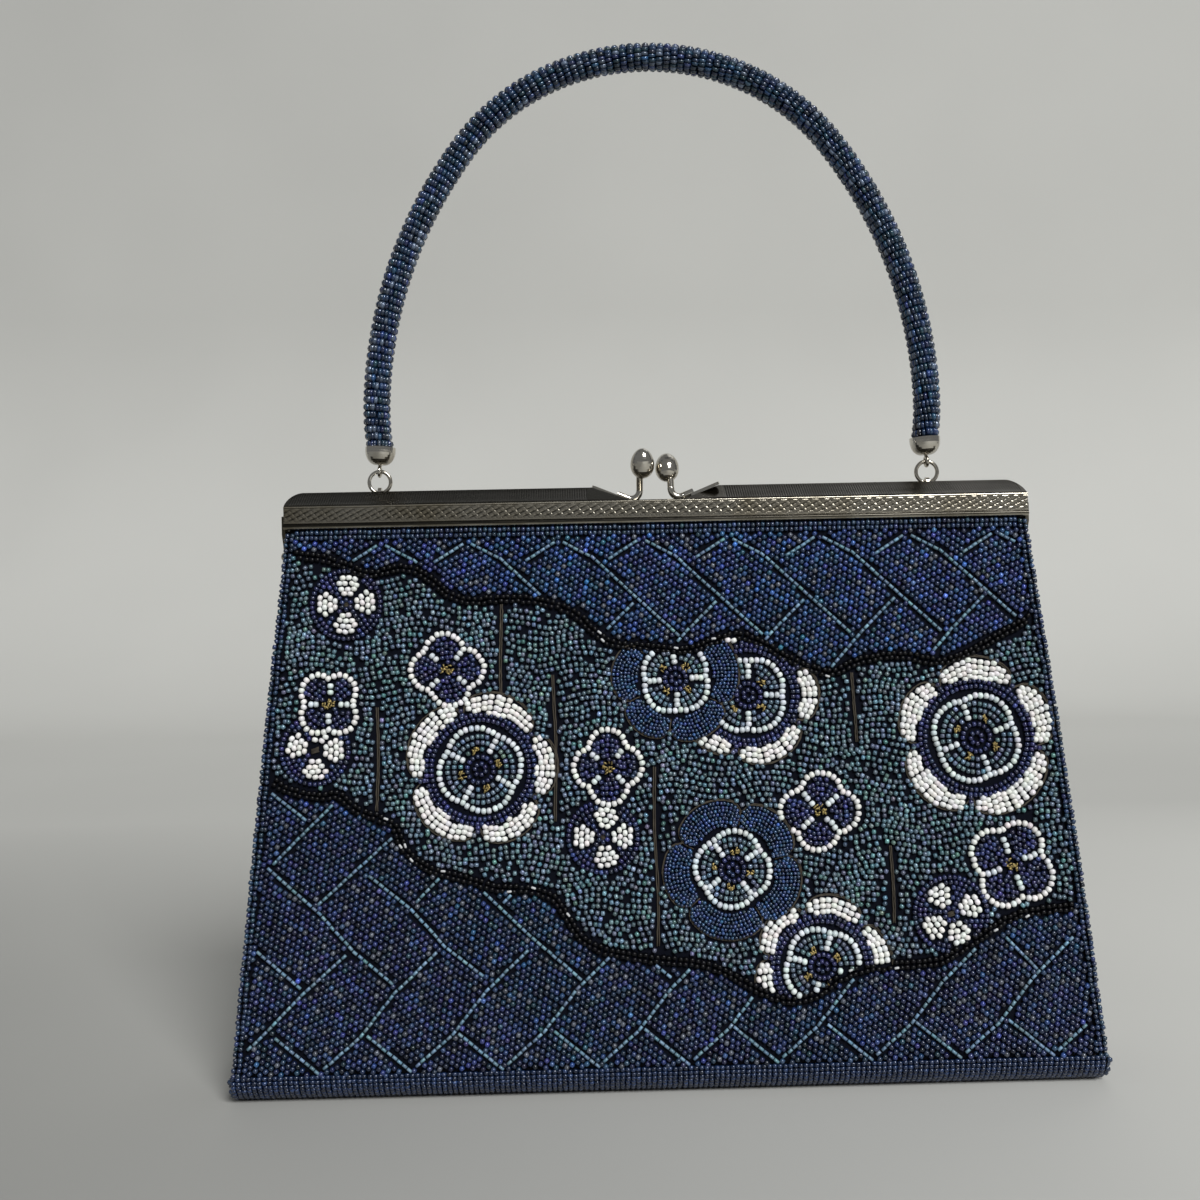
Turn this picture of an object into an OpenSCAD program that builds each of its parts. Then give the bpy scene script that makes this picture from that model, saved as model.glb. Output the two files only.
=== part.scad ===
// Beaded evening purse with a kiss lock frame and a rope handle.
// The origin is at the middle of the base, on the surface that the purse stands on.
// X runs along the width, the front faces -Y, Z is up.

/* [Bag] */
// Width of the bag at its base
base_w = 216; // [190:1:250]
// Depth of the bag at its base, front to back
base_d = 38; // [32:1:52]
// Height from the base to the lower edge of the frame
body_h = 141; // [110:1:180]
// Height to which the base strip turns up at the front and the back
base_roll = 7; // [5:0.5:9]
// How far the front and the back swell at half height
belly = 1.5; // [0:0.25:3]
// Depth that the beads stand out of their cloth
bead_t = 1.3; // [1:0.1:1.6]
// Thickness of the cloth under the beads
cloth_t = 1.1; // [0.8:0.1:1.3]
// Thickness of the stiff board behind the front and the back cloth
board_t = 1; // [0.8:0.1:1.2]
// Thickness of the board in the base
base_board_t = 2; // [1:0.25:3]
// Thickness of the lining
lining_t = 0.5; // [0.4:0.1:0.7]
// How far the side gussets fold inwards at the top
gusset_fold = 5; // [3:0.5:8]
// How far the side gussets fold inwards at the base
gusset_sag = 1; // [0.5:0.5:3]
// Thickness of the beaded gusset cloth
gusset_t = 2; // [1.6:0.1:2.4]

/* [Pocket] */
// Width of the slip pocket on the back lining
pocket_w = 110; // [60:1:140]
// Height of the slip pocket
pocket_h = 55; // [30:1:60]
// Height of the pocket's lower edge above the base
pocket_z = 40; // [20:1:45]
// Thickness of the pocket
pocket_t = 0.8; // [0.6:0.1:1]

/* [Frame] */
// Width of the frame
frame_w = 190; // [170:1:210]
// Depth of one jaw of the frame
jaw_d = 6.5; // [6:0.25:8]
// Height of the engraved band
band_h = 4.3; // [4:0.1:7]
// Height of the sloping roof above the band
roof_h = 4.2; // [3:0.1:5]
// Radius of the rolled lip along the lower edge
lip_r = 0.75; // [0.5:0.05:1]
// Thickness of the frame's sheet metal
sheet_t = 0.5; // [0.4:0.05:0.6]
// Radius of the frame's upper corners in the front view
corner_r = 3.8; // [2:0.1:5]
// Half width of the gap in the roof under the clasp, at the band
notch_low = 6.2; // [5.5:0.1:9]
// Half width of the gap in the roof under the clasp, at the ridge
notch_high = 16.5; // [14:0.5:22]
// Diameter of the paper cord that wedges the cloth in the frame
cord_d = 2.2; // [1.6:0.1:2.4]
// Height to which the cloth reaches up inside the frame
tongue_h = 3.4; // [2:0.1:4]

/* [Hinge] */
// Height of the roof's ridge above the hinge axis
hinge_drop = 16.5; // [15:0.5:22]
// Thickness of a hinge arm
arm_t = 0.9; // [0.7:0.1:1.2]
// Length of an arm below the hinge axis
arm_tail = 5; // [3.5:0.25:6]
// Radius of an arm round its hinge axis
arm_r = 2.3; // [1.8:0.1:2.8]
// Diameter of the hinge rivet
rivet_d = 1.5; // [1.2:0.1:2]
// Diameter of the rivet's heads
rivet_head_d = 2.6; // [2.2:0.1:3.2]
// Height of the rivet's outer head
rivet_head_h = 1.3; // [0.8:0.1:2]

/* [Clasp] */
// Diameter of a clasp knob
knob_d = 6.2; // [5:0.1:7.5]
// Height of a clasp knob
knob_h = 8; // [6:0.1:10]
// Gap between the two knobs where they pass each other
knob_gap = 0.3; // [0.2:0.05:0.6]
// Height of the rear jaw's knob centre above the band
knob_rise = 10.1; // [9:0.1:13]
// How much lower the front jaw's knob stands
knob_step = 0.9; // [0:0.1:1.2]
// How far each knob has passed the middle of the frame when closed
knob_cross = 1; // [0.5:0.1:1.5]
// Diameter of a knob's stem
stem_d = 1.8; // [1.4:0.1:2.2]
// Distance of a stem's foot from the middle of the frame
stem_y = 2; // [1.8:0.1:3]
// Bend radius of a stem where it leaves its foot
stem_bend = 2.2; // [1.8:0.1:3]
// Length of a stem's foot
foot_l = 10; // [8:0.5:12]
// Length of the flat leaf at the end of the foot
foot_leaf = 7; // [4:0.5:7]
// Thickness of that leaf
foot_t = 0.7; // [0.5:0.05:1]

/* [Rings] */
// Outer diameter of a handle ring
ring_d = 6.6; // [6:0.1:10]
// Thickness of a ring's wire
ring_wire = 1; // [0.8:0.05:1.2]
// Distance of the lugs behind the middle of the frame
lug_y = 3.3; // [2.5:0.1:4]
// Height of a lug's hole above the roof
lug_rise = 2; // [1.6:0.1:2.6]
// Outer radius of a lug round its hole
lug_r = 1.4; // [1.2:0.1:1.8]
// Thickness of a lug
lug_t = 0.9; // [0.6:0.1:1.2]
// Play between a ring and the holes that it runs through
ring_play = 0.15; // [0.1:0.05:0.25]

/* [Handle] */
// Distance between the two ends of the handle
handle_span = 144; // [120:1:160]
// Height of the handle's middle line above the frame
handle_rise = 112; // [96:1:125]
// Angle at which the handle's ends lean inwards
handle_lean = 3; // [1:0.5:6]
// Angle above level at which the handle's shoulder arcs meet its crown arc
handle_shoulder = 35; // [28:1:42]
// Diameter of the beaded rope
rope_d = 7.2; // [6:0.1:9]
// Diameter of the cord inside the rope
rope_core_d = 4.4; // [3.4:0.1:4.8]
// Diameter of an end cap
cap_d = 7.9; // [7:0.1:10]
// Height of an end cap
cap_h = 4.6; // [3.6:0.1:6]
// Depth of the core's seat in an end cap
cap_seat = 2.6; // [1.8:0.1:3]
// Thickness of the wire of a cap's eye
eye_wire = 0.9; // [0.7:0.05:1]

/* [Hidden] */
$fn = 64;

bead_blue = [0.17, 0.24, 0.42];
lining_satin = [0.32, 0.38, 0.52];
board_grey = [0.62, 0.60, 0.55];
nickel = [0.72, 0.70, 0.66];
paper_tan = [0.70, 0.60, 0.45];

// Clearances: between soft pieces, between the closed jaws, between the arms, round the rivet, of seated pieces
soft_gap = 0.3;
jaw_gap = 0.3;
arm_gap = 0.1;
rivet_play = 0.05;
rivet_hold = 0.01;
seat_gap = 0.05;
eps = 0.01;

// Heights of the frame's lines
lip_z = body_h;
band_z = lip_z + 2 * lip_r;
eave_z = band_z + band_h;
ridge_z = eave_z + roof_h;
hinge_z = ridge_z - hinge_drop;

// One jaw, measured from the middle plane of the frame
jaw_in = jaw_gap / 2;
jaw_out = jaw_in + jaw_d;
channel_out = jaw_out - sheet_t;
channel_in = jaw_in + sheet_t;

// Cloth layers, as depths behind the bead faces
beads_back = bead_t;
cloth_back = bead_t + cloth_t;
board_face = cloth_back + soft_gap;
board_back = board_face + board_t;
lining_face = board_back + soft_gap;
lining_back = lining_face + lining_t;
pocket_face = lining_back + soft_gap;

// Depth of the bead faces at the top, so that the cloth runs straight up into the frame
neck_y = channel_out - soft_gap + bead_t;
side_steps = 12;
body_low = base_roll + soft_gap;
body_top = lip_z - soft_gap;
tongue_top = lip_z + tongue_h;
floor_z = bead_t + cloth_t + soft_gap;
base_top = floor_z + base_board_t + soft_gap;
board_top = hinge_z + 1;

// Side edges of the cloth: half widths at the base and at the frame
top_half = frame_w / 2 - 0.4;
base_half = base_w / 2;

// Arms: the front jaw's lie outside the rear jaw's
rear_arm_x = frame_w / 2 - arm_t;
front_arm_x = frame_w / 2 + arm_gap;
arm_out_x = front_arm_x + arm_t;
arm_in = 0.5;
arm_out = neck_y - cloth_back - soft_gap;
arm_low = hinge_z - arm_tail;
tail_r = 1.1;

// Gussets: they pass inside the arms, and meet the side edges at the base
gusset_top_x = rear_arm_x - soft_gap - rivet_hold;
gusset_knee_z = arm_low - soft_gap;
gusset_top = hinge_z + 3;

// Clasp: a stem stands a little outside its knob's middle, and its foot rests on the cut of the roof
knob_x = (knob_d + knob_gap) / 2;
stem_x = knob_x + 0.7;
stem_r = stem_d / 2;
stem_in = 0.35;
foot_r = 1.5 * stem_r;
joint_r = stem_r + 0.03;
foot_angle = atan(roof_h / (notch_high - notch_low));
bend_x = stem_x + stem_bend;
bend_z = eave_z + seat_gap + (stem_bend + stem_r + (bend_x - notch_low) * sin(foot_angle)) / cos(foot_angle);
lean_run = stem_y + knob_cross;

// Lug, ring and handle axes
roof_slope = roof_h / jaw_d;
lug_hole_r = ring_wire / 2 + ring_play;
ring_r = (ring_d - ring_wire) / 2;
lug_z = ridge_z - (lug_y - jaw_in) * roof_slope + lug_rise;
pivot_z = lug_z + 2 * ring_r;
end_x = handle_span / 2;
eye_r = lug_hole_r + eye_wire / 2 + ring_play / 2;
cap_low = eye_r + eye_wire / 2 + seat_gap;
cap_top = cap_low + cap_h;
core_low = cap_top - cap_seat;
rope_low = cap_top + seat_gap;
leg_l = cap_top + 1.5;

// The handle's arch: a shoulder arc goes on from each leg, and a crown arc joins the two shoulders
arch_w = end_x - leg_l * sin(handle_lean);
arch_h = ridge_z + handle_rise - pivot_z - leg_l * cos(handle_lean);
turn_cos = cos(handle_shoulder);
turn_sin = sin(handle_shoulder);
arch_det = (cos(handle_lean) - turn_cos) * (1 - turn_sin) - turn_cos * (turn_sin - sin(handle_lean));
shoulder_r = (arch_w * (1 - turn_sin) - arch_h * turn_cos) / arch_det;
crown_r = (arch_h * (cos(handle_lean) - turn_cos) - arch_w * (turn_sin - sin(handle_lean))) / arch_det;
shoulder_x = arch_w - shoulder_r * cos(handle_lean);
shoulder_z = pivot_z + leg_l * cos(handle_lean) - shoulder_r * sin(handle_lean);
crown_z = ridge_z + handle_rise - crown_r;

// Half width of the cloth at height z
function half_w(z) = base_half + (top_half - base_half) * z / lip_z;
// Depth of the bead faces from the middle plane at height z, with the swell as half a sine wave
function skin(z) = let (t = max(0, min(1, (z - base_roll) / (lip_z - base_roll))))
  base_d / 2 + (neck_y - base_d / 2) * t + belly * sin(180 * t);
// Points down a layer that lies at depth d behind the bead faces, from height a to height b
function layer(d, a, b) = [for (i = [0:side_steps]) let (z = a + (b - a) * i / side_steps) [d - skin(z), z]];
function reversed(v) = [for (i = [len(v) - 1:-1:0]) v[i]];

// A profile in Y and Z, drawn out along X
module along_x(length) {
  rotate([90, 0, 90]) linear_extrude(length, center = true) children();
}

// An outline in X and Z, drawn out along Y
module along_y(length) {
  rotate([90, 0, 0]) linear_extrude(length, center = true) children();
}

// Both ends of the purse
module both_ends() {
  children();
  mirror([1, 0, 0]) children();
}

// The sloping side edges of the body, drawn in by inset, with a tongue that clears the frame's end walls
module body_outline(inset) {
  edge_x = half_w(body_top) - inset;
  tongue_x = min(edge_x, rear_arm_x - soft_gap);
  top = tongue_top + 1;
  polygon([
    [-half_w(0) + inset, 0], [half_w(0) - inset, 0], [edge_x, body_top], [tongue_x, body_top],
    [tongue_x, top], [-tongue_x, top], [-tongue_x, body_top], [-edge_x, body_top]
  ]);
}

// One layer of the front between depths a and b, with a tongue up into the frame if it has one
module front_layer(a, b, low, high, tongue_a, inset) {
  tongue = tongue_a == undef ? [] : [
    [tongue_a - neck_y, high], [tongue_a - neck_y, tongue_top], [b - neck_y, tongue_top]
  ];
  intersection() {
    along_x(base_w) polygon(concat(layer(a, low, high), tongue, reversed(layer(b, low, high))));
    along_y(base_d * 2) body_outline(inset);
  }
}

module front_cloth() {
  color(bead_blue) front_layer(0, cloth_back, body_low, body_top, beads_back, 0);
}

module back_cloth() {
  color(bead_blue) mirror([0, 1, 0]) front_layer(0, cloth_back, body_low, body_top, beads_back, 0);
}

module front_board() {
  color(board_grey) front_layer(board_face, board_back, base_top, board_top, undef, gusset_t + 2.2);
}

module back_board() {
  color(board_grey) mirror([0, 1, 0]) front_layer(board_face, board_back, base_top, board_top, undef, gusset_t + 2.2);
}

module front_lining() {
  color(lining_satin) front_layer(lining_face, lining_back, base_top, body_top, lining_face, gusset_t + 4);
}

module back_lining() {
  color(lining_satin)
    mirror([0, 1, 0]) front_layer(lining_face, lining_back, base_top, body_top, lining_face, gusset_t + 4);
}

// The base strip: a shallow trough whose long edges turn up in quarter circles
module trough(depth, roll, low) {
  difference() {
    union() {
      translate([-depth / 2, low + roll]) square([depth, base_roll - low - roll + eps]);
      translate([-depth / 2 + roll, low]) square([depth - 2 * roll, roll + eps]);
      translate([-depth / 2 + roll, low + roll]) circle(roll);
      translate([depth / 2 - roll, low + roll]) circle(roll);
    }
    translate([-depth, base_roll]) square([2 * depth, 2 * base_roll]);
  }
}

module base_cloth() {
  color(bead_blue) difference() {
    along_x(base_w) trough(base_d, base_roll - eps, 0);
    along_x(base_w - 2 * cloth_back) trough(base_d - 2 * cloth_back, base_roll - cloth_back - eps, cloth_back);
  }
}

module base_board() {
  color(board_grey) translate([0, 0, floor_z + base_board_t / 2])
    cube([base_w - 8, base_d - 2 * base_roll - 2 * soft_gap, base_board_t], center = true);
}

// Cross-section of a gusset at height z: its outer edge x, its half depth y and its fold
function gusset_x(z) = z > gusset_knee_z ? gusset_top_x
  : base_half - soft_gap + (gusset_top_x - base_half + soft_gap) * (z - floor_z) / (gusset_knee_z - floor_z);
function gusset_y(z) = skin(z) - cloth_back - soft_gap;
function fold(z) = gusset_sag + (gusset_fold - gusset_sag) * (z - floor_z) / (gusset_top - floor_z);
function gusset_in(z, y) = gusset_x(z) - gusset_t - fold(z) * (1 - y / gusset_y(z));

// A closed solid through sections of equal length, one above the other
module loft(sections) {
  n = len(sections[0]);
  m = len(sections);
  points = [for (s = sections) each s];
  sides = [for (j = [0:m - 2]) for (i = [0:n - 1]) [
    j * n + i, (j + 1) * n + i, (j + 1) * n + (i + 1) % n, j * n + (i + 1) % n
  ]];
  bottom = [for (i = [0:n - 1]) i];
  top = [for (i = [n - 1:-1:0]) (m - 1) * n + i];
  polyhedron(points = points, faces = concat(sides, [bottom], [top]), convexity = 4);
}

// Heights of a gusset's sections
function gusset_levels(low) = [
  low, for (i = [1:side_steps]) base_roll + (gusset_knee_z - base_roll) * i / side_steps, gusset_top
];

// The right gusset: a strip that folds inwards along its middle
module gusset() {
  loft([for (z = gusset_levels(base_roll + soft_gap)) let (x = gusset_x(z), y = gusset_y(z), c = x - fold(z)) [
    [x, -y, z], [c, 0, z], [x, y, z], [x - gusset_t, y, z], [c - gusset_t, 0, z], [x - gusset_t, -y, z]
  ]]);
}

module right_gusset() {
  color(bead_blue) gusset();
}

module left_gusset() {
  color(bead_blue) mirror([1, 0, 0]) gusset();
}

// The lining of both gussets, which follows their inner faces
module side_linings() {
  color(lining_satin) both_ends() loft([for (z = gusset_levels(base_top))
    let (y = skin(z) - lining_back - 2 * soft_gap, x = gusset_in(z, y) - 2 * soft_gap, c = gusset_in(z, 0) - soft_gap) [
      [x, -y, z], [c, 0, z], [x, y, z], [x - lining_t, y, z], [c - lining_t, 0, z], [x - lining_t, -y, z]
    ]]);
}

module slip_pocket() {
  color(lining_satin) mirror([0, 1, 0]) intersection() {
    along_x(pocket_w) polygon(concat(
      layer(pocket_face, pocket_z, pocket_z + pocket_h),
      reversed(layer(pocket_face + pocket_t, pocket_z, pocket_z + pocket_h))
    ));
    translate([0, 0, pocket_z + pocket_h / 2]) cube([pocket_w, base_d, pocket_h], center = true);
  }
}

// The section of the front jaw: a channel, open below, with a rolled lip and a sloping roof
module jaw_section() {
  difference() {
    union() {
      polygon([[-jaw_out, lip_z], [-jaw_out, eave_z], [-jaw_in, ridge_z], [-jaw_in, lip_z]]);
      translate([-jaw_out, lip_z + lip_r]) circle(lip_r);
    }
    translate([-channel_out, lip_z - lip_r]) square([channel_out - channel_in, eave_z - sheet_t - lip_z + lip_r]);
  }
}

// The frame in the front view: rounded upper corners, and the gap in the roof for the clasp
module frame_outline() {
  difference() {
    union() {
      translate([-frame_w / 2, lip_z - 1]) square([frame_w, ridge_z - lip_z + 1 - corner_r]);
      translate([-frame_w / 2 + corner_r, lip_z - 1]) square([frame_w - 2 * corner_r, ridge_z - lip_z + 1]);
      translate([-frame_w / 2 + corner_r, ridge_z - corner_r]) circle(corner_r);
      translate([frame_w / 2 - corner_r, ridge_z - corner_r]) circle(corner_r);
    }
    polygon([
      [-notch_low, eave_z], [notch_low, eave_z],
      [notch_high, ridge_z], [notch_high, ridge_z + 1], [-notch_high, ridge_z + 1], [-notch_high, ridge_z]
    ]);
  }
}

// An arm in the side view, with its eye at the hinge axis and a narrow tail below
module arm_outline(hole_r) {
  shoulder_z = lip_z - 1;
  difference() {
    union() {
      polygon([
        [-arm_out, band_z + band_h / 2], [-arm_in, band_z + band_h / 2], [-arm_in, shoulder_z],
        [arm_r, hinge_z], [-arm_r, hinge_z], [-arm_out, shoulder_z]
      ]);
      translate([0, hinge_z]) circle(arm_r);
      polygon([[-arm_r, hinge_z], [arm_r, hinge_z], [tail_r, arm_low + tail_r], [-tail_r, arm_low + tail_r]]);
      translate([0, arm_low + tail_r]) circle(tail_r);
    }
    translate([0, hinge_z]) circle(hole_r);
  }
}

// The hollow under the roof's sheet, between the clasp's seat and a rounded corner
module roof_hollow() {
  side_fall = sheet_t * roof_slope;
  sheet_fall = sheet_t * norm([1, roof_slope]);
  low_x = notch_high + 2;
  high_x = frame_w / 2 - corner_r - 1;
  translate([(low_x + high_x) / 2, 0, 0]) along_x(high_x - low_x) polygon([
    [-channel_out, eave_z - sheet_t - eps], [-channel_out, eave_z + side_fall - sheet_fall],
    [-channel_in, ridge_z - side_fall - sheet_fall], [-channel_in, eave_z - sheet_t - eps]
  ]);
}

// One jaw in the place of the front one: arm_x is the inner face of its arms
module jaw(arm_x, hole_r) {
  difference() {
    intersection() {
      along_x(frame_w) jaw_section();
      along_y(4 * jaw_out) frame_outline();
    }
    both_ends() roof_hollow();
  }
  both_ends() {
    translate([frame_w / 2 - arm_t, -jaw_out, lip_z]) cube([arm_t, jaw_d, eave_z - lip_z]);
    translate([arm_x + arm_t / 2, 0, 0]) along_x(arm_t) arm_outline(hole_r);
    translate([frame_w / 2 - arm_t, -arm_out, lip_z]) cube([arm_x - frame_w / 2 + 2 * arm_t, arm_out - arm_in, band_h / 2]);
  }
}

module front_frame() {
  color(nickel) jaw(front_arm_x, rivet_d / 2 + rivet_play);
}

module rear_frame() {
  color(nickel) mirror([0, 1, 0]) jaw(rear_arm_x, rivet_d / 2 + rivet_hold);
}

// The paper cord that wedges the cloth in one channel
module frame_cord() {
  translate([0, -channel_in - cord_d / 2 - seat_gap, eave_z - sheet_t - cord_d / 2 - seat_gap])
    along_x(frame_w - 2 * arm_t - 2) circle(cord_d / 2);
}

module front_frame_cord() {
  color(paper_tan) frame_cord();
}

module rear_frame_cord() {
  color(paper_tan) mirror([0, 1, 0]) frame_cord();
}

// A rivet: a shank with a domed head outside and a flat one inside
module rivet() {
  head_x = arm_out_x + seat_gap;
  dome = (rivet_head_h * rivet_head_h + rivet_head_d * rivet_head_d / 4) / (2 * rivet_head_h);
  translate([0, 0, hinge_z]) rotate([0, 90, 0]) {
    translate([0, 0, rear_arm_x - seat_gap - 0.6]) cylinder(d = rivet_head_d, h = 0.6);
    translate([0, 0, rear_arm_x - 0.5]) cylinder(d = rivet_d, h = head_x - rear_arm_x + 1);
    intersection() {
      translate([0, 0, head_x + rivet_head_h - dome]) sphere(dome);
      translate([0, 0, head_x]) cylinder(d = rivet_head_d, h = rivet_head_h);
    }
  }
}

module hinge_rivets() {
  color(nickel) both_ends() rivet();
}

// An egg-shaped knob about its own centre: a sine wave that is fuller below
module knob() {
  rotate_extrude() polygon([for (a = [0:10:180])
    [a == 0 || a == 180 ? 0 : knob_d / 2 * sin(a) * (1 + 0.1 * cos(a)), -knob_h / 2 * cos(a)]]);
}

// A stem's line above its bend: the rise to the knob's middle, the length, and the lean over to the other jaw
function stem_rise(rise) = eave_z + rise - bend_z;
function stem_l(rise) = norm([stem_rise(rise), lean_run]);
function stem_lean(rise) = atan2(lean_run, stem_rise(rise));

// Places its children at the top of the front jaw's bend, with Z up along the leaning stem
module on_stem(rise) {
  translate([0, -stem_y, bend_z]) rotate([-stem_lean(rise), 0, 0]) children();
}

// The front jaw's stem: a foot that ends in a flat leaf, a bend up, and a leaning end inside the knob
module stem(rise) {
  on_stem(rise) translate([stem_x, 0, 0]) {
    sphere(joint_r);
    cylinder(r = stem_r, h = stem_l(rise) - knob_h / 2 + stem_in);
  }
  translate([bend_x, -stem_y, bend_z]) {
    rotate([90, 0, 0]) rotate_extrude(angle = 90 + foot_angle) translate([-stem_bend, 0]) circle(stem_r);
    rotate([0, -foot_angle, 0]) translate([0, 0, -stem_bend]) {
      sphere(joint_r);
      rotate([0, 90, 0]) cylinder(r = stem_r, h = foot_l - foot_leaf);
      translate([0, 0, -stem_r]) linear_extrude(foot_t) {
        translate([foot_l - foot_leaf - 1, -foot_r]) square([foot_leaf + 1 - foot_r, 2 * foot_r]);
        translate([foot_l - foot_r, 0]) circle(foot_r);
      }
    }
  }
}

module front_clasp_stem() {
  color(nickel) stem(knob_rise - knob_step);
}

module rear_clasp_stem() {
  color(nickel) rotate([0, 0, 180]) stem(knob_rise);
}

// A knob at the top of its stem, hollowed for the stem's end
module knob_on_stem(rise) {
  on_stem(rise) difference() {
    translate([knob_x, 0, stem_l(rise)]) knob();
    translate([stem_x, 0, 0]) cylinder(r = stem_r + rivet_hold, h = stem_l(rise) - knob_h / 2 + stem_in + seat_gap);
  }
}

module front_clasp_knob() {
  color(nickel) knob_on_stem(knob_rise - knob_step);
}

module rear_clasp_knob() {
  color(nickel) rotate([0, 0, 180]) knob_on_stem(knob_rise);
}

// A lug on the right of the rear roof: an upright eye whose foot follows the slope
module lug() {
  foot = lug_r * 0.9;
  translate([end_x, 0, 0]) along_x(lug_t) difference() {
    union() {
      translate([lug_y, lug_z]) circle(lug_r);
      polygon([
        [lug_y - foot, ridge_z - (lug_y - foot - jaw_in) * roof_slope],
        [lug_y + foot, ridge_z - (lug_y + foot - jaw_in) * roof_slope],
        [lug_y + foot, lug_z], [lug_y - foot, lug_z]
      ]);
    }
    translate([lug_y, lug_z]) circle(lug_hole_r);
  }
}

module right_lug() {
  color(nickel) lug();
}

module left_lug() {
  color(nickel) mirror([1, 0, 0]) lug();
}

// A ring of wire on the right that runs through the lug below and the cap's eye above
module ring() {
  translate([end_x, lug_y, lug_z + ring_r]) rotate([90, 0, 0])
    rotate_extrude() translate([ring_r, 0]) circle(ring_wire / 2);
}

module right_ring() {
  color(nickel) ring();
}

module left_ring() {
  color(nickel) mirror([1, 0, 0]) ring();
}

// Places its children at the handle's right pivot, with Z up along the leaning end of the handle
module at_handle_end() {
  translate([end_x, lug_y, pivot_z]) rotate([0, -handle_lean, 0]) children();
}

// The section of the rope or its core: a disc, or a ring if it has an inner radius
module rope_section(r_out, r_in) {
  difference() {
    circle(r_out);
    if (r_in > 0) circle(r_in);
  }
}

// The handle's whole line in that section, from height low on its legs, as five pieces that just clear each other
module handle_sweep(r_out, r_in, low) {
  both_ends() {
    at_handle_end() translate([0, 0, low]) linear_extrude(leg_l - low - eps) rope_section(r_out, r_in);
    translate([shoulder_x, lug_y, shoulder_z]) rotate([90, 0, 0]) rotate([0, 0, handle_lean])
      rotate_extrude(angle = handle_shoulder - handle_lean) translate([shoulder_r, 0]) rope_section(r_out, r_in);
  }
  translate([0, lug_y, crown_z]) rotate([90, 0, 0]) rotate([0, 0, handle_shoulder + eps])
    rotate_extrude(angle = 180 - 2 * handle_shoulder - 2 * eps) translate([crown_r, 0]) rope_section(r_out, r_in);
}

module handle_rope() {
  color(bead_blue) handle_sweep(rope_d / 2, rope_core_d / 2 + seat_gap, rope_low);
}

module handle_core() {
  color(board_grey) handle_sweep(rope_core_d / 2, 0, core_low + seat_gap);
}

// An end cap: a bowl whose wall swells from the eye's hole to the rope
module end_cap() {
  hole_r = eye_wire / 2 + rivet_hold;
  at_handle_end() rotate_extrude() polygon(concat(
    [[hole_r, cap_low]],
    [for (a = [0:10:90]) [
      hole_r + 0.6 + (cap_d / 2 - hole_r - 0.6) * sin(a), cap_low + (cap_h - 0.8) * (1 - cos(a))
    ]],
    [[cap_d / 2, cap_top], [rope_core_d / 2 + seat_gap, cap_top], [rope_core_d / 2 + seat_gap, core_low], [hole_r, core_low]]
  ));
}

module right_end_cap() {
  color(nickel) end_cap();
}

module left_end_cap() {
  color(nickel) mirror([1, 0, 0]) end_cap();
}

// The eye below an end cap: a wire ring with a shank up through the cap
module cap_eye() {
  at_handle_end() {
    rotate([0, 90, 0]) rotate_extrude() translate([eye_r, 0]) circle(eye_wire / 2);
    translate([0, 0, eye_r]) cylinder(d = eye_wire, h = core_low - eye_r);
  }
}

module right_cap_eye() {
  color(nickel) cap_eye();
}

module left_cap_eye() {
  color(nickel) mirror([1, 0, 0]) cap_eye();
}

base_cloth();
base_board();
front_cloth();
back_cloth();
front_board();
back_board();
left_gusset();
right_gusset();
front_lining();
back_lining();
side_linings();
slip_pocket();
front_frame();
rear_frame();
front_frame_cord();
rear_frame_cord();
hinge_rivets();
front_clasp_stem();
front_clasp_knob();
rear_clasp_stem();
rear_clasp_knob();
left_lug();
right_lug();
left_ring();
right_ring();
handle_rope();
handle_core();
left_end_cap();
right_end_cap();
left_cap_eye();
right_cap_eye();
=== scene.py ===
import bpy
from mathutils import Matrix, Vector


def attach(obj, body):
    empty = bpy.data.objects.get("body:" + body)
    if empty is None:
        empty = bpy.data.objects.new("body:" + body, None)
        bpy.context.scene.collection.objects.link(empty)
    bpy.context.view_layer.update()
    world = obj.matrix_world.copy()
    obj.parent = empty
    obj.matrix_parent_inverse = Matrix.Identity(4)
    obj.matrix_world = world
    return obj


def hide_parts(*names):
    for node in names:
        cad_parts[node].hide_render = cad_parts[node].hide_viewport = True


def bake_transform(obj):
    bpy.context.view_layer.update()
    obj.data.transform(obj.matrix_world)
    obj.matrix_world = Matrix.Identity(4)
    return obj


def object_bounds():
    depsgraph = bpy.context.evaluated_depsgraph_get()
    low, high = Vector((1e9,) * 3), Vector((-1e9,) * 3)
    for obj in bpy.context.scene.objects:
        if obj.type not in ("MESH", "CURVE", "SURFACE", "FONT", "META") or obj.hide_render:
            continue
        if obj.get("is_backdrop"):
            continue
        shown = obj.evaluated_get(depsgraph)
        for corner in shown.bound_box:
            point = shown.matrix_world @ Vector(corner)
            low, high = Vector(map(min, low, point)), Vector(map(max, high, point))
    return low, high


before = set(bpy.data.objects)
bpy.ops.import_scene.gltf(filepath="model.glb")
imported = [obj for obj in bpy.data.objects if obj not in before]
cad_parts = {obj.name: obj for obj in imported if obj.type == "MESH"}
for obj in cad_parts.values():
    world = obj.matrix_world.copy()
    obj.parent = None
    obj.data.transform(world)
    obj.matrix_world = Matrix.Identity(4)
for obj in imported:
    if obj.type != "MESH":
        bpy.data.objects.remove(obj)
cadBox = [list(corner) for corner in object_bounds()]

from math import ceil, cos, pi, radians, sin, sqrt

import bpy
import numpy as np
from mathutils import Matrix, Vector

# Every size below is in millimetres, in the frame of the purse: X to the right, the front faces -Y, Z up
mm = 0.001
scene = bpy.context.scene
draw = np.random.default_rng(7)
yAxis = np.array([[0.0, 1.0, 0.0]])

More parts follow.
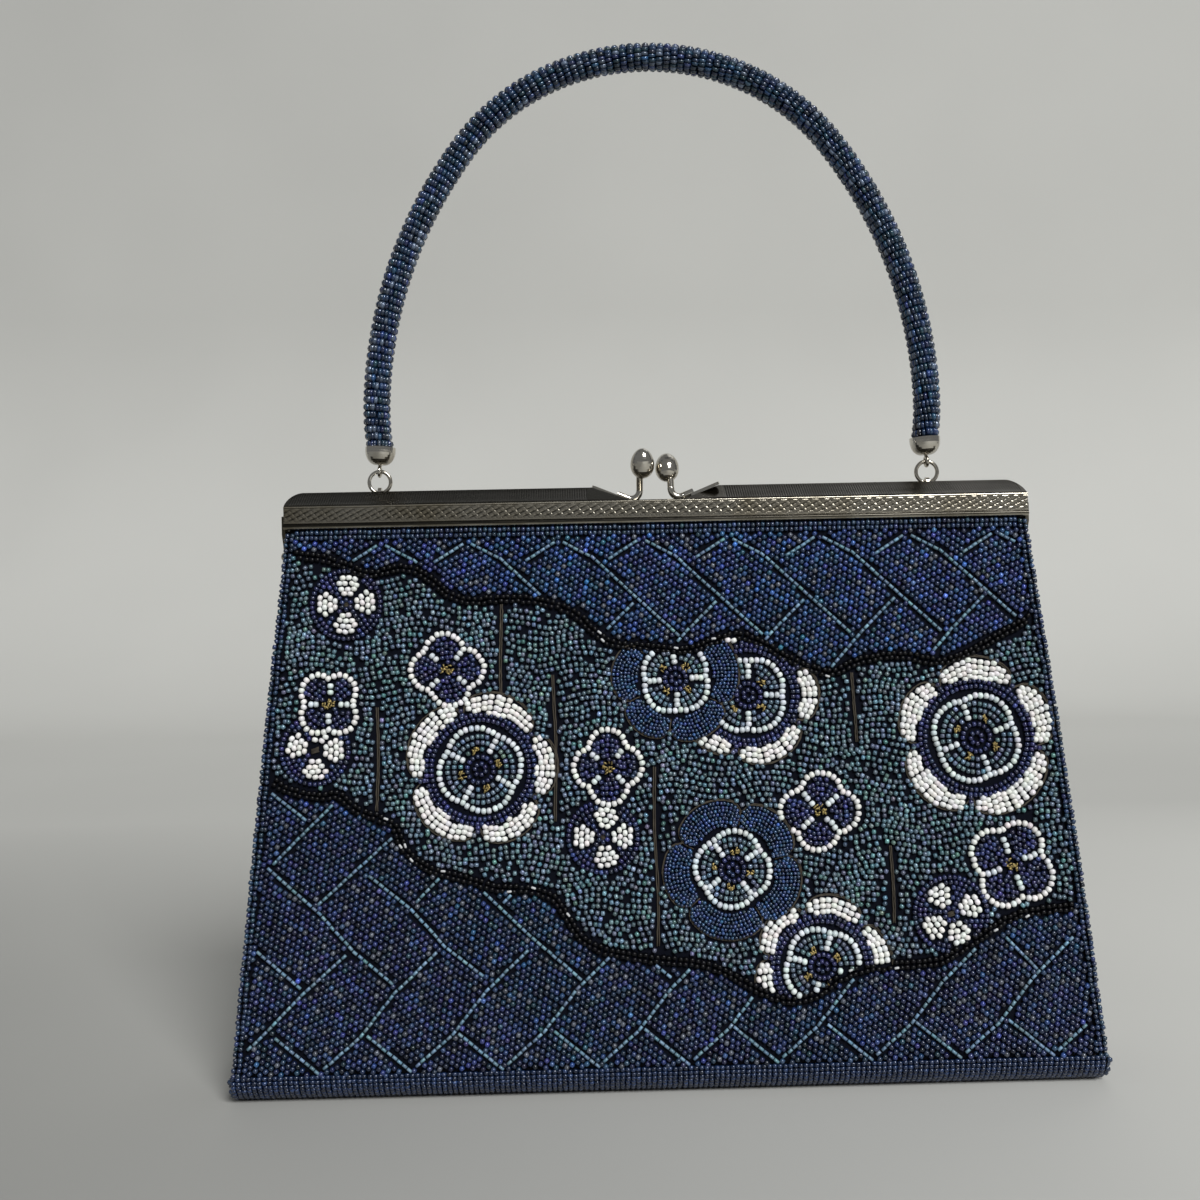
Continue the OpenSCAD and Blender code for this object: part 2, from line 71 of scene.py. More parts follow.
# The body, with the same numbers as the solids
body = dict(baseHalf=108.0, topHalf=94.6, height=141.0, depth=19.0, neck=7.15, belly=1.5, roll=7.0)
jaw = dict(half=95.0, inner=0.15, outer=6.65, sheet=0.5, lip=141.0, band=142.5, eave=146.8, ridge=151.0,
           lipRadius=0.75, corner=3.8, notchLow=6.2, notchHigh=16.5, hinge=134.5)


def wobble(values, amount):
    # hand work: every value a little off
    return values + draw.normal(0, amount, values.shape)


def skinDepth(z):
    # depth of the bead faces at height z: a straight taper from the base to the frame, plus half a sine wave
    t = np.clip((z - body["roll"]) / (body["height"] - body["roll"]), 0, 1)
    return body["depth"] + (body["neck"] - body["depth"]) * t + body["belly"] * np.sin(pi * t)


def halfWidth(z):
    # half width of the body at height z, a straight line from the base to the frame
    return body["baseHalf"] + (body["topHalf"] - body["baseHalf"]) * z / body["height"]


# camera
look = dict(place=(-19.2, -312.0, 118.2), pitch=0.64, yaw=0.78, roll=-1.18, lens=36.0)
camData = bpy.data.cameras.new("camera")
camData.sensor_width = 36
camData.lens = look["lens"]
camData.clip_start = 0.01
camera = bpy.data.objects.new("camera", camData)
scene.collection.objects.link(camera)
camera.location = [v * mm for v in look["place"]]
camera.rotation_mode = "QUATERNION"
turn = Matrix.Rotation(-radians(look["yaw"]), 3, "Z") @ Matrix.Rotation(radians(90 + look["pitch"]), 3, "X")
camera.rotation_quaternion = (turn @ Matrix.Rotation(radians(look["roll"]), 3, "Z")).to_quaternion()
scene.camera = camera
scene.view_settings.view_transform = "Standard"
print("camera placed")


# shader and mesh helpers
def setSocket(tree, socket, value):
    if isinstance(value, Value):
        tree.links.new(value.socket, socket)
    else:
        socket.default_value = value


class Value:
    # wraps a socket, so that sums and products of sockets add Math nodes
    def __init__(self, tree, socket):
        self.tree, self.socket = tree, socket

    def math(self, operation, other):
        node = self.tree.nodes.new("ShaderNodeMath")
        node.operation = operation
        for socket, value in zip(node.inputs, (self, other)):
            setSocket(self.tree, socket, value)
        return Value(self.tree, node.outputs[0])

    def __add__(self, other): return self.math("ADD", other)
    def __mul__(self, other): return self.math("MULTIPLY", other)


class Finish:
    # one material: feed() sets inputs of its Principled shader, node() adds any other node
    def __init__(self, name, **values):
        self.material = bpy.data.materials.new(name)
        self.material.use_nodes = True
        self.tree = self.material.node_tree
        self.shader = self.tree.nodes["Principled BSDF"]
        self.feed(**values)

    def feed(self, node=None, **values):
        for key, value in values.items():
            setSocket(self.tree, (node or self.shader).inputs[key.replace("_", " ")], value)

    def node(self, kind, output=0, attribute=None, **values):
        node = self.tree.nodes.new("ShaderNode" + kind)
        if attribute:
            node.attribute_name = attribute
        self.feed(node, **values)
        return Value(self.tree, node.outputs[output])

    def place(self):
        return self.node("TexCoord", 3)

    def axes(self, place):
        split = self.tree.nodes.new("ShaderNodeSeparateXYZ")
        setSocket(self.tree, split.inputs[0], place)
        return [Value(self.tree, s) for s in split.outputs]

    def mix(self, factor, low, high):
        node = self.tree.nodes.new("ShaderNodeMix")
        node.data_type = "RGBA"
        for number, value in ((0, factor), (6, low), (7, high)):
            setSocket(self.tree, node.inputs[number], value)
        return Value(self.tree, node.outputs[2])

    def bump(self, height, strength, distance):
        self.feed(Normal=self.node("Bump", Height=height, Strength=strength, Distance=distance))


def addMesh(name, points, faceSets, finish, tint=None, bakeMap=None):
    # points in millimetres, faceSets a list of whole-number arrays, each of faces with the same corner count
    mesh = bpy.data.meshes.new(name)
    points = np.asarray(points, np.float64).reshape(-1, 3) * mm
    corners = np.concatenate([f.ravel() for f in faceSets]).astype(np.int32)
    counts = np.concatenate([np.full(len(f), f.shape[1], np.int32) for f in faceSets])
    mesh.vertices.add(len(points))
    mesh.vertices.foreach_set("co", points.ravel())
    mesh.loops.add(len(corners))
    mesh.loops.foreach_set("vertex_index", corners)
    mesh.polygons.add(len(counts))
    mesh.polygons.foreach_set("loop_start", np.concatenate([[0], np.cumsum(counts)[:-1]]).astype(np.int32))
    mesh.polygons.foreach_set("use_smooth", np.full(len(counts), True))
    mesh.update(calc_edges=True)
    if tint is not None:
        colour = np.ones((len(points), 4), np.float32)
        colour[:, :3] = tint
        mesh.attributes.new("tint", "FLOAT_COLOR", "POINT").data.foreach_set("color", colour.ravel())
    if bakeMap is not None:
        mesh.uv_layers.new(name="OFBake").data.foreach_set("uv", np.asarray(bakeMap, np.float32).ravel())
    mesh.materials.append(finish.material)
    piece = bpy.data.objects.new(name, mesh)
    scene.collection.objects.link(piece)
    return piece


def rides(piece, bodyName, slotName, *nodes):
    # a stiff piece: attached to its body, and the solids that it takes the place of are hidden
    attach(piece, bodyName)
    setSlot(nodes)


def setSlot(nodes):
    if nodes:
        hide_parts(*nodes)


# heights between which a face bends with its jaw, and its distance from the middle plane; a lining stays still up to
# the boards' tops
bend = dict(low=127.0, high=140.2, boardTop=135.6, depth=8)


def bends(piece, side, slotName, *nodes, low=bend["low"]):
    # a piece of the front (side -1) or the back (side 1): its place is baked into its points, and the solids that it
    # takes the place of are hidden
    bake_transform(piece)
    setSlot(nodes)


def grid(rows, columns):
    # two whole arrays of evenly spaced values, from (first, last, count) for the rows and for the columns
    return np.meshgrid(np.linspace(*rows), np.linspace(*columns), indexing="ij")


def gridFaces(rows, columns, wrapRows=False, wrapColumns=False):
    # quads of a grid of points, counted row by row; a wrapped side joins its last line to its first
    i = np.arange(rows if wrapRows else rows - 1)
    j = np.arange(columns if wrapColumns else columns - 1)
    i, j = np.meshgrid(i, j, indexing="ij")
    i2, j2 = (i + 1) % rows, (j + 1) % columns
    return np.stack([i * columns + j, i * columns + j2, i2 * columns + j2, i2 * columns + j], -1).reshape(-1, 4)


def sheetParts(outer, inner, swap=False):
    # closed thin wall between two grids of the same size: both grids and the rim that joins their edges
    if swap:
        outer, inner = inner, outer
    rows, columns = outer.shape[:2]
    size = rows * columns
    front = gridFaces(rows, columns)
    edge = np.concatenate([np.arange(columns), np.arange(1, rows) * columns + columns - 1,
                           (rows - 1) * columns + np.arange(columns - 2, -1, -1),
                           np.arange(rows - 2, 0, -1) * columns])
    after = np.roll(edge, -1)
    rim = np.stack([after, edge, edge + size, after + size], -1)
    return np.concatenate([outer.reshape(-1, 3), inner.reshape(-1, 3)]), [front, (front + size)[:, ::-1], rim]


def unit(v):
    return v / np.maximum(np.linalg.norm(v, axis=-1, keepdims=True), 1e-9)


def turns(count):
    return np.arange(count) * 2 * pi / count


def fan(first, second, tip):
    # triangles from the edges between first and second to one tip
    return np.stack([first, second, np.full(len(first), tip)], -1)


def tubeParts(path, radius, sides):
    # circle of the given radius carried along an open path, square to it, with a low tip at both ends
    along = unit(np.gradient(path, axis=0))
    side = unit(np.cross(along, yAxis))
    rise = np.cross(side, along)
    a = turns(sides)[None, :, None]
    ring = path[:, None] + radius * (np.cos(a) * side[:, None] + np.sin(a) * rise[:, None])
    tips = [path[0] - along[0] * radius * 0.5, path[-1] + along[-1] * radius * 0.5]
    points = np.concatenate([ring.reshape(-1, 3), tips])
    last, k, n = (len(path) - 1) * sides, np.arange(sides), len(points) - 2
    after = np.roll(k, -1)
    return points, [gridFaces(len(path), sides, False, True), fan(after, k, n), fan(last + k, last + after, n + 1)]


def joinParts(parts):
    # several pairs of points and faces as one
    quads, triangles, count = [], [], 0
    for points, faces in parts:
        for f in faces:
            (quads if f.shape[1] == 4 else triangles).append(f + count)
        count += len(points)
    return np.concatenate([p for p, _ in parts]), [np.concatenate(s) for s in (quads, triangles) if s]


# beads: one small turned shape, repeated at the places in a table
def beadShape(sides, stations, tip):
    # a ring of points at each station (place along the hole, radius), and a point at either tip; a corner of a
    # triangle is its point's number and its place in the bead's cell of the map
    points = [[s, r * cos(t), r * sin(t)] for s, r in stations for t in turns(sides)]
    last, ends = len(stations) - 1, len(points)
    points += [[-tip, 0, 0], [tip, 0, 0]]
    corner = lambda row, k: (row * sides + k % sides, k / sides, 0.12 + 0.76 * row / last)
    corners = []
    for row in range(last):
        for k in range(sides):
            a, b, c, d = corner(row, k), corner(row, k + 1), corner(row + 1, k), corner(row + 1, k + 1)
            corners += [a, c, d, a, d, b]
    for k in range(sides):
        middle = (k / sides + (k + 1) / sides) / 2
        corners += [corner(0, k), corner(0, k + 1), (ends, middle, 0.02)]
        corners += [corner(last, k + 1), corner(last, k), (ends + 1, middle, 0.98)]
    corners = np.array(corners)
    return np.array(points), corners[:, 0].astype(int).reshape(-1, 3), corners[:, 1:]


seedShape = beadShape(6, [(-0.31, 0.5), (0.31, 0.5)], 0.46)
bigShape = beadShape(8, [(-0.42, 0.33), (-0.2, 0.5), (0.2, 0.5), (0.42, 0.33)], 0.46)
tubeShape = beadShape(6, [(-0.49, 0.5), (0.49, 0.5)], 0.49)
ropeShape = beadShape(8, [(-0.33, 0.5), (0.33, 0.5)], 0.48)


def addBeads(name, centre, along, outward, length, width, tint, shape, finish):
    # each bead: the shape stretched to its length and width, its hole laid along, turned at random about the hole
    points, faces, spread = shape
    count = len(centre)
    spin = draw.uniform(0, 2 * pi, count)[:, None]
    side = unit(np.cross(outward, along))
    rise = np.cross(along, side)
    first = rise * np.cos(spin) + side * np.sin(spin)
    place = centre[:, None]
    for axis, direction in enumerate((along, first, np.cross(along, first))):
        size = np.broadcast_to(width if axis else length, count)[:, None]
        place = place + direction[:, None] * (points[None, :, axis] * size)[..., None]
    everyFace = (faces[None] + (np.arange(count) * len(points))[:, None, None]).reshape(-1, 3)
    cells = ceil(sqrt(count))
    corner = np.stack([np.arange(count) % cells, np.arange(count) // cells], -1)
    bakeMap = (corner[:, None] + 0.06 + 0.88 * spread[None]) / cells
    return addMesh(name, place, [everyFace], finish, np.repeat(tint, len(points), 0), bakeMap)


# finishes
def tintFinish(name, metal, rough, coat, specular=0.5):
    finish = Finish(name, Metallic=metal, Roughness=rough, Coat_Weight=coat, Coat_Roughness=0.08,
                    Specular_IOR_Level=specular)
    finish.feed(Base_Color=finish.node("Attribute", attribute="tint"))
    return finish


glassBeads = tintFinish("glass_beads", 0.22, 0.2, 0.5, 0.6)
opaqueBeads = tintFinish("opaque_glass_beads", 0.0, 0.28, 0.2)
jetBeads = tintFinish("black_faceted_beads", 0.0, 0.3, 0.0, 0.25)
goldThread = tintFinish("gold_thread", 0.75, 0.38, 0.0)
couchingThread = tintFinish("brown_thread", 0.0, 0.75, 0.0, 0.3)


def clothFinish(name, dark, light, scale, rough, sheen=0.0, specular=0.3):
    # plain weave: two crossed sine waves of the place, which mix two tones and raise the yarns
    finish = Finish(name, Roughness=rough, Sheen_Weight=sheen, Specular_IOR_Level=specular)
    place = finish.place()
    x, y, z = finish.axes(place)
    warp = ((x + y * 0.35) * (2 * pi / scale)).math("SINE", 0.0)
    weft = ((z + y * 0.6) * (2 * pi / scale)).math("SINE", 0.0)
    yarn = warp * weft * 0.5 + 0.5
    wear = finish.node("TexNoise", Vector=place, Scale=90.0, Detail=3.0)
    tone = finish.mix(yarn * 0.7 + wear * 0.4, (*dark, 1), (*light, 1))
    finish.feed(Base_Color=tone, Roughness=wear * 0.25 + (rough - 0.12))
    finish.bump(yarn, 0.5, scale * 0.25)
    return finish


backing = clothFinish("navy_backing_cloth", (0.0015, 0.002, 0.005), (0.003, 0.004, 0.009), 0.0007, 0.95, 0.0, 0.12)
satin = clothFinish("blue_satin", (0.10, 0.14, 0.26), (0.17, 0.22, 0.38), 0.00045, 0.42, 0.3)
buckram = clothFinish("buckram_board", (0.42, 0.39, 0.33), (0.58, 0.55, 0.48), 0.0009, 0.8)
handleThread = clothFinish("navy_cotton_cord", (0.006, 0.009, 0.02), (0.014, 0.02, 0.04), 0.0006, 0.9, 0.0, 0.2)
cordFinish = clothFinish("twisted_cord", (0.33, 0.26, 0.17), (0.55, 0.46, 0.33), 0.0006, 0.85)


def metalFinish(name, clean, worn, rough, paintedShade=False):
    # plated metal: two tones mixed by a soft noise for tarnish, and fine scratches in the roughness; where the mesh
    # holds a painted shade, the tone is darkened towards black by it: painted shade and painted dark reflections
    finish = Finish(name, Metallic=1.0)
    place = finish.place()
    cloud = finish.node("TexNoise", Vector=place, Scale=70.0, Detail=4.0, Roughness=0.6)
    stain = finish.node("MapRange", Value=cloud, From_Min=0.42, From_Max=0.68)
    grain = finish.node("TexNoise", Vector=place, Scale=900.0, Detail=2.0)
    tone = finish.mix(stain, (*clean, 1), (*worn, 1))
    if paintedShade:
        # painted shade: the mesh's tint darkens the metal in its grooves and where it stands for a dark reflection
        shade = finish.node("Attribute", 2, "tint")
        tone = finish.mix(shade, (0.012, 0.011, 0.009, 1), tone)
    finish.feed(Base_Color=tone, Roughness=stain * 0.14 + grain * 0.08 + rough)
    finish.bump(grain, 0.08, 0.00005)
    return finish


plated = metalFinish("engraved_nickel_painted_shade", (0.43, 0.40, 0.335), (0.21, 0.186, 0.138), 0.15, True)
polished = metalFinish("polished_nickel", (0.60, 0.575, 0.52), (0.42, 0.37, 0.29), 0.07)
print("finishes ready")

tones = dict(
    navy=(0.0120, 0.0264, 0.074), indigo=(0.020, 0.027, 0.088), edge=(0.019, 0.038, 0.082), teal=(0.106, 0.158, 0.208),
    tube=(0.135, 0.235, 0.32), white=(0.80, 0.80, 0.78), pale=(0.66, 0.72, 0.74), blue=(0.020, 0.048, 0.125),
    black=(0.001, 0.001, 0.002), gold=(0.30, 0.23, 0.09), brown=(0.055, 0.046, 0.034))

# length along the hole and width of each kind of bead
beadSize = dict(seed=(1.20, 1.26), ground=(1.36, 1.36), cloud=(1.22, 1.24), white=(1.38, 1.58), small=(0.90, 0.92),
                tube=(1.30, 0.80), jet=(1.5, 1.25), cluster=(1.32, 1.54))


def varied(tone, count, shade):
    # a tone that gets darker or lighter from bead to bead
    return np.asarray(tones[tone])[None] * np.exp(draw.normal(0, shade, (count, 1)))


# the face of a panel
def faceFrame(x, z, depth, side):
    # place on a face at x and height z, depth behind the bead faces, with the outward and the upward direction there
    slope = (skinDepth(z + 0.05) - skinDepth(z - 0.05)) / 0.1
    place = np.stack([x, side * (skinDepth(z) - depth), z], -1)
    outward = unit(np.stack([np.zeros_like(x), np.full_like(x, side), -slope], -1))
    rise = unit(np.stack([np.zeros_like(x), side * slope, np.ones_like(x)], -1))
    return place, outward, rise


class Strung:
    # a table of beads on a face: x, z, angle of the hole, length, width, and colour
    def __init__(self, *tables):
        self.rows = np.concatenate(tables) if tables else np.zeros((0, 8))

    x = property(lambda self: self.rows[:, 0])
    z = property(lambda self: self.rows[:, 1])

    def add(self, x, z, angle, kind, tone, shade):
        # colour varies from bead to bead: by the shade, and a little in hue
        tint = varied(tone, len(x), shade)
        tint = tint * np.exp(draw.normal(0, shade * 0.35, (len(x), 3)))
        stack = [np.broadcast_to(v, len(x)) for v in (x, z, angle, *beadSize[kind])]
        self.rows = np.concatenate([self.rows, np.column_stack([*stack, tint])])
        return self

    def keep(self, mask):
        self.rows = self.rows[mask]
        return self

    def loosen(self, amount):
        # hand-sewn beads: each a little off its place and its line
        self.rows[:, :2] = wobble(self.rows[:, :2], amount)
        self.rows[:, 2] = wobble(self.rows[:, 2], amount)
        return self

    def __len__(self):
        return len(self.rows)


def alongLine(points, pitch, closed=False):
    # places at an even pitch along a broken line, with the line's direction at each
    p = np.asarray(points, float)
    if closed:
        p = np.concatenate([p, p[:1]])
    step = np.linalg.norm(np.diff(p, axis=0), axis=1)
    run = np.concatenate([[0], np.cumsum(step)])
    count = max(1, int(round(run[-1] / pitch)))
    at = (np.arange(count) + 0.5) * run[-1] / count
    x, z = np.interp(at, run, p[:, 0]), np.interp(at, run, p[:, 1])
    k = np.clip(np.searchsorted(run, at, "right") - 1, 0, len(step) - 1)
    d = np.diff(p, axis=0)[k]
    return x, z, np.arctan2(d[:, 1], d[:, 0])


def smoothLine(points, steps=8):
    # a smooth curve through the points: each stretch is the cubic that passes its ends with even turns
    p = np.concatenate([points[:1], points, points[-1:]])
    t = (np.arange(steps) / steps)[None, :, None]
    a, b, c, d = (p[i:len(p) - 3 + i, None] for i in range(4))
    curve = 0.5 * (2 * b + (c - a) * t + (2 * a - 5 * b + 4 * c - d) * t * t + (3 * b - a - 3 * c + d) * t ** 3)
    return np.concatenate([curve.reshape(-1, 2), p[-2:-1]])


def inside(x, z, outline):
    # True where the ray to the right crosses the closed outline an odd number of times
    ax, az = outline[:, 0], outline[:, 1]
    bx, bz = np.roll(ax, -1), np.roll(az, -1)
    hit = np.zeros(len(x), bool)
    for part in np.array_split(np.arange(len(x)), max(1, len(x) // 4000)):
        px, pz = x[part, None], z[part, None]
        cross = (az[None] > pz) != (bz[None] > pz)
        at = ax + (pz - az) * (bx - ax) / np.where(bz == az, 1e-9, bz - az)
        hit[part] = (cross & (px < at)).sum(1) % 2 == 1
    return hit


def outsideAll(x, z, outlines):
    ok = np.ones(len(x), bool)
    for outline in outlines:
        ok &= ~inside(x, z, outline)
    return ok


def farFrom(x, z, others, gap):
    # True where no other bead is nearer than gap
    free = np.ones(len(x), bool)
    ox, oz = others[:, 0].astype(np.float32), others[:, 1].astype(np.float32)
    for part in np.array_split(np.arange(len(x)), max(1, len(x) // 2000)):
        near = (x[part, None] - ox) ** 2 + (z[part, None] - oz) ** 2
        free[part] = near.min(1) > gap * gap
    return free


def fromSides(x, z, margin):
    return np.abs(x) < halfWidth(z) - margin


def shrunk(outline, by):
    # an outline drawn in towards its middle
    middle = outline.mean(0)
    d = outline - middle
    r = np.linalg.norm(d, axis=1, keepdims=True)
    return middle + d * (r - by) / r


# flowers: each gives its beads, its threads and its outline
spokes = petals = 4


def polar(x, z, r, a):
    return x + r * np.cos(a), z + r * np.sin(a)


def ringLine(x, z, radius, count=120):
    return np.stack(polar(x, z, radius, turns(count)), -1)


def offTurn(a, turn):
    # angle from the nearest of four even turns
    return (a - turn + pi / spokes) % (2 * pi / spokes) - pi / spokes


def fromGaps(a, gaps):
    # angle from the nearest gap between two petals
    return np.abs((a[:, None] - gaps[None] + pi) % (2 * pi) - pi).min(1)


def lobeRadius(size, turn, x, reach=0.47):
    # radius of a flower whose petals are circles, at 120 angles: each has its middle at the reach and touches the
    # full size, and a slow wave makes it uneven
    a = turns(120)
    off = offTurn(a, turn)
    lobe = size * (reach * np.cos(off) + np.sqrt(np.maximum((1 - reach) ** 2 - (reach * np.sin(off)) ** 2, 0)))
    return lobe * (1 + 0.04 * np.sin(2 * a + x))


def goldBits(threads, x, z, reach, count):
    # short bits of gold thread in a small heap
    for _ in range(count):
        a, r, lean = draw.uniform(0, 2 * pi), reach * draw.uniform(0, 1) ** 0.5, draw.uniform(0, pi)
        c, d = np.array([x + r * cos(a), z + r * sin(a)]), 0.42 * np.array([cos(lean), sin(lean)])
        threads.append(("gold", np.stack([c - d, c, c + d])))


def flowerHeart(beads, threads, x, z, size, turn):
    # the heart of a large flower: a white ring with inward spokes, teal rings, heaps of gold and a dark middle
    half = pi / spokes
    swell = np.abs(np.cos(spokes * (turns(120) - (turn + half)) / 2))
    for share, tone, pitch, kind in (
            (0.545 * size * (1 - 0.12 * (1 - swell)), "pale", 1.42, "white"),
            (0.425 * size, "teal", 1.28, "cloud"), (0.345 * size, "teal", 1.28, "cloud"),
            (0.26 * size, "teal", 1.28, "cloud"), (0.17 * size, "indigo", 1.25, "seed"),
            (0.07 * size, "indigo", 1.2, "seed")):
        px, pz, pa = alongLine(ringLine(x, z, share), pitch, True)
        if kind == "cloud":
            at, away = np.arctan2(pz - z, px - x), np.hypot(px - x, pz - z)
            fromSpoke = np.abs(offTurn(at, turn)) * away
            fromGold = np.hypot(half * away - fromSpoke, away - 0.25 * size)
            clear = (fromSpoke > 1.25) & (fromGold > 1.1)
            px, pz, pa = px[clear], pz[clear], pa[clear]
        beads.add(px, pz, pa, kind, tone, 0.1 if tone == "pale" else 0.3)
    for k in range(spokes):
        a = turn + 2 * pi * k / spokes
        beads.add(*polar(x, z, np.array([0.41, 0.335, 0.26]) * size, a), a, "white", "pale", 0.08)
        b = a + half
        goldBits(threads, x + 0.25 * size * cos(b), z + 0.25 * size * sin(b), 0.95, 9)


def petalShare(a, gaps, low, dent, width):
    # share of the full radius inside a petal: rises from low at a gap to 1 in the petal's middle, by the root of a
    # sine; an outline also has a dent at each gap
    edge = np.concatenate([gaps, gaps[:1] + 2 * pi])
    turnIn = (a - gaps[0]) % (2 * pi) + gaps[0]
    k = np.clip(np.searchsorted(edge, turnIn, "right") - 1, 0, len(gaps) - 1)
    t = (turnIn - edge[k]) / (edge[k + 1] - edge[k])
    share = low + (1 - low) * np.sin(pi * np.clip(t, 0, 1)) ** 0.5
    return share * (1 - dent * np.exp(-(fromGaps(a, gaps) / width) ** 2)) if dent else share


def closedLine(outline):
    return "brown", np.concatenate([outline, outline[:1]])


def whiteFlower(x, z, size, gaps):
    # petals of white beads in short rows that point outwards, round a dark ring and the heart; gaps are in degrees
    beads, threads = Strung(), []
    gaps = np.radians(np.sort(gaps))
    margin = 2.1 / (0.86 * size)
    for low, high in zip(gaps, np.roll(gaps, -1)):
        high = high + 2 * pi if high < low else high
        count = max(2, round((high - low - 2 * margin) * 0.88 * size / 1.50) + 1)
        for a in np.linspace(low + margin, high - margin, count):
            top = size * petalShare(a, gaps, 0.80, 0, 1) - 0.85 + draw.normal(0, 0.18)
            r = np.arange(top, 0.735 * size, -1.36)
            lean = a + draw.normal(0, 0.008)
            beads.add(*polar(x, z, r, lean), a + draw.normal(0, 0.08), "white", "white", 0.06)
    for share in (0.705, 0.64):
        beads.add(*alongLine(ringLine(x, z, share * size), 1.25, True), "seed", "indigo", 0.35)
    # dark beads fill the gaps between the petals
    for g in gaps:
        beads.add(*polar(x, z, np.arange(0.745, 0.83, 1.1 / size) * size, g), g, "seed", "indigo", 0.35)
    flowerHeart(beads, threads, x, z, size, gaps[0] + 0.5)
    outline = ringLine(x, z, size * petalShare(turns(240), gaps, 0.80, 0.10, 0.09) + 0.2, 240)
    threads.append(closedLine(outline))
    return beads.loosen(0.06), threads, outline


def blueFlower(x, z, size, gaps):
    # petals filled with small blue beads in bent rows, with a brown outline, round the heart
    beads, threads = Strung(), []
    gaps = np.radians(np.sort(gaps))
    share = petalShare(turns(200), gaps, 0.84, 0.08, 0.08)
    outline = ringLine(x, z, size * share, 200)
    for k in range(9):
        px, pz, pa = alongLine(ringLine(x, z, size * share - 0.7 - 0.92 * k, 200), 0.92, True)
        away = np.hypot(px - x, pz - z)
        ok = (away > 0.60 * size) & (fromGaps(np.arctan2(pz - z, px - x), gaps) * away > 0.5)
        beads.add(px[ok], pz[ok], wobble(pa[ok], 0.4), "small", "blue", 0.4)
    flowerHeart(beads, threads, x, z, size * 0.98, gaps[0] + 0.4)
    threads.append(closedLine(outline))
    for g in gaps:
        threads.append(("brown", np.stack(polar(x, z, np.linspace(0.62, 0.80, 4) * size, g), -1)))
    return beads.loosen(0.07), threads, outline


def outlineFlower(x, z, size, turn):
    # petals drawn by one row of white beads with spokes, filled with dark beads round a gold heart
    beads, threads = Strung(), []
    turn = radians(turn)
    line = ringLine(x, z, lobeRadius(size - 0.8, turn, x))
    beads.add(*alongLine(line, 1.46, True), "white", "white", 0.07)
    for k in range(petals):
        a = turn + pi * (2 * k + 1) / petals + draw.normal(0, 0.06)
        beads.add(*polar(x, z, np.arange(0.72 * size - 2.0, 0.26 * size, -1.38), a), a, "white", "pale", 0.08)
    # the dark beads lie in rings, each bead far enough from the last one and from the white ones
    step = 0.02
    r, at = np.meshgrid(np.arange(1.9, size, 1.18), np.arange(0, 2 * pi, step))
    every = np.maximum(1, np.round(1.22 / step / r)).astype(int)
    ok = (np.round(at / step).astype(int) % every == 0) & (at < 2 * pi - 0.6 / r)
    gx, gz = polar(x, z, r[ok], at[ok] + r[ok])
    gx, gz = wobble(gx, 0.12), wobble(gz, 0.12)
    ok = inside(gx, gz, shrunk(line, 0.85)) & farFrom(gx, gz, beads.rows, 1.2) & (np.hypot(gx - x, gz - z) > 1.9)
    beads.add(gx[ok], gz[ok], turn + draw.normal(0, 0.5, ok.sum()), "seed", "indigo", 0.4)
    goldBits(threads, x, z, 1.6, 16)
    return beads.loosen(0.08), threads, ringLine(x, z, lobeRadius(size + 0.1, turn, x, 0.43))


def clusterFlower(x, z, size, wedges):
    # wedges of white beads, in rows that widen outwards, on a round ground of dark beads with a brown knot
    beads, threads = Strung(), []
    for wedge in wedges:
        a = radians(wedge)
        for r, count in ((0.30, 2), (0.445, 3), (0.595, 4), (0.735, 3)):
            t = (np.arange(count) - (count - 1) / 2) * 1.58
            r = r * size - 0.05 * t * t
            beads.add(x + r * cos(a) - t * sin(a), z + r * sin(a) + t * cos(a),
                      wobble(a + 0.1 * t, 0.25), "cluster", "white", 0.06)
    whites = beads.loosen(0.1).rows
    for r in np.arange(size - 0.6, 0.9, -1.24):
        px, pz, pa = alongLine(ringLine(x, z, r, 60), 1.24, True)
        ok = farFrom(px, pz, whites, 1.28)
        beads.add(px[ok], pz[ok], wobble(pa[ok], 0.3), "seed", "indigo", 0.4)
    for shift in (-0.5, -0.17, 0.17, 0.5):
        threads.append(("brown", np.array([[x - 0.9, z + shift - 0.3], [x, z + shift], [x + 0.9, z + shift + 0.3]])))
    return beads, threads, ringLine(x, z, size)


# the front pattern: cloud band with flowers between two grounds of lattice
cloudTop = smoothLine([(-98, 136.2), (-93, 134.8), (-83, 133), (-76, 130.2), (-72, 129.4), (-67, 130.6), (-62, 130.2),
                       (-57, 127), (-53, 123.6), (-48, 122), (-38, 122.4), (-29, 121.3), (-22, 118.6), (-17, 114),
                       (-12, 110.6), (-3, 109.4), (7, 108.6), (13, 110.6), (19, 112), (25, 110), (32, 105.8),
                       (38, 103.2), (43, 102.2), (48, 104.4), (54, 105.8), (61, 106), (68, 104.6), (74, 105),
                       (81, 108.2), (87, 111.4), (92, 114), (99, 118)])
cloudLow = smoothLine([(-103, 82), (-98, 79.2), (-93, 76), (-86, 74.4), (-81, 74.6), (-76.5, 71), (-71, 68.8),
                       (-67, 66.6), (-64.6, 61.4), (-60, 57), (-55, 55), (-49, 53.4), (-42, 51.2), (-34, 50.6),
                       (-28, 48.4), (-25, 44), (-21.5, 38.8), (-16, 35.6), (-7, 33.6), (3, 32.4), (9, 31.4),
                       (14, 29.4), (20, 26), (26, 23.2), (31, 22.4), (36, 23.8), (41, 27), (47, 29.4), (57, 30.4),
                       (66, 31), (72, 33.8), (78, 37.4), (84, 40.8), (90, 42.4), (97, 43.2), (106, 44.4)])
cloudBand = np.concatenate([cloudTop, cloudLow[::-1]])
bandMargin = np.array([0, 0.9])
innerBand = np.concatenate([cloudTop - bandMargin, (cloudLow + bandMargin)[::-1]])

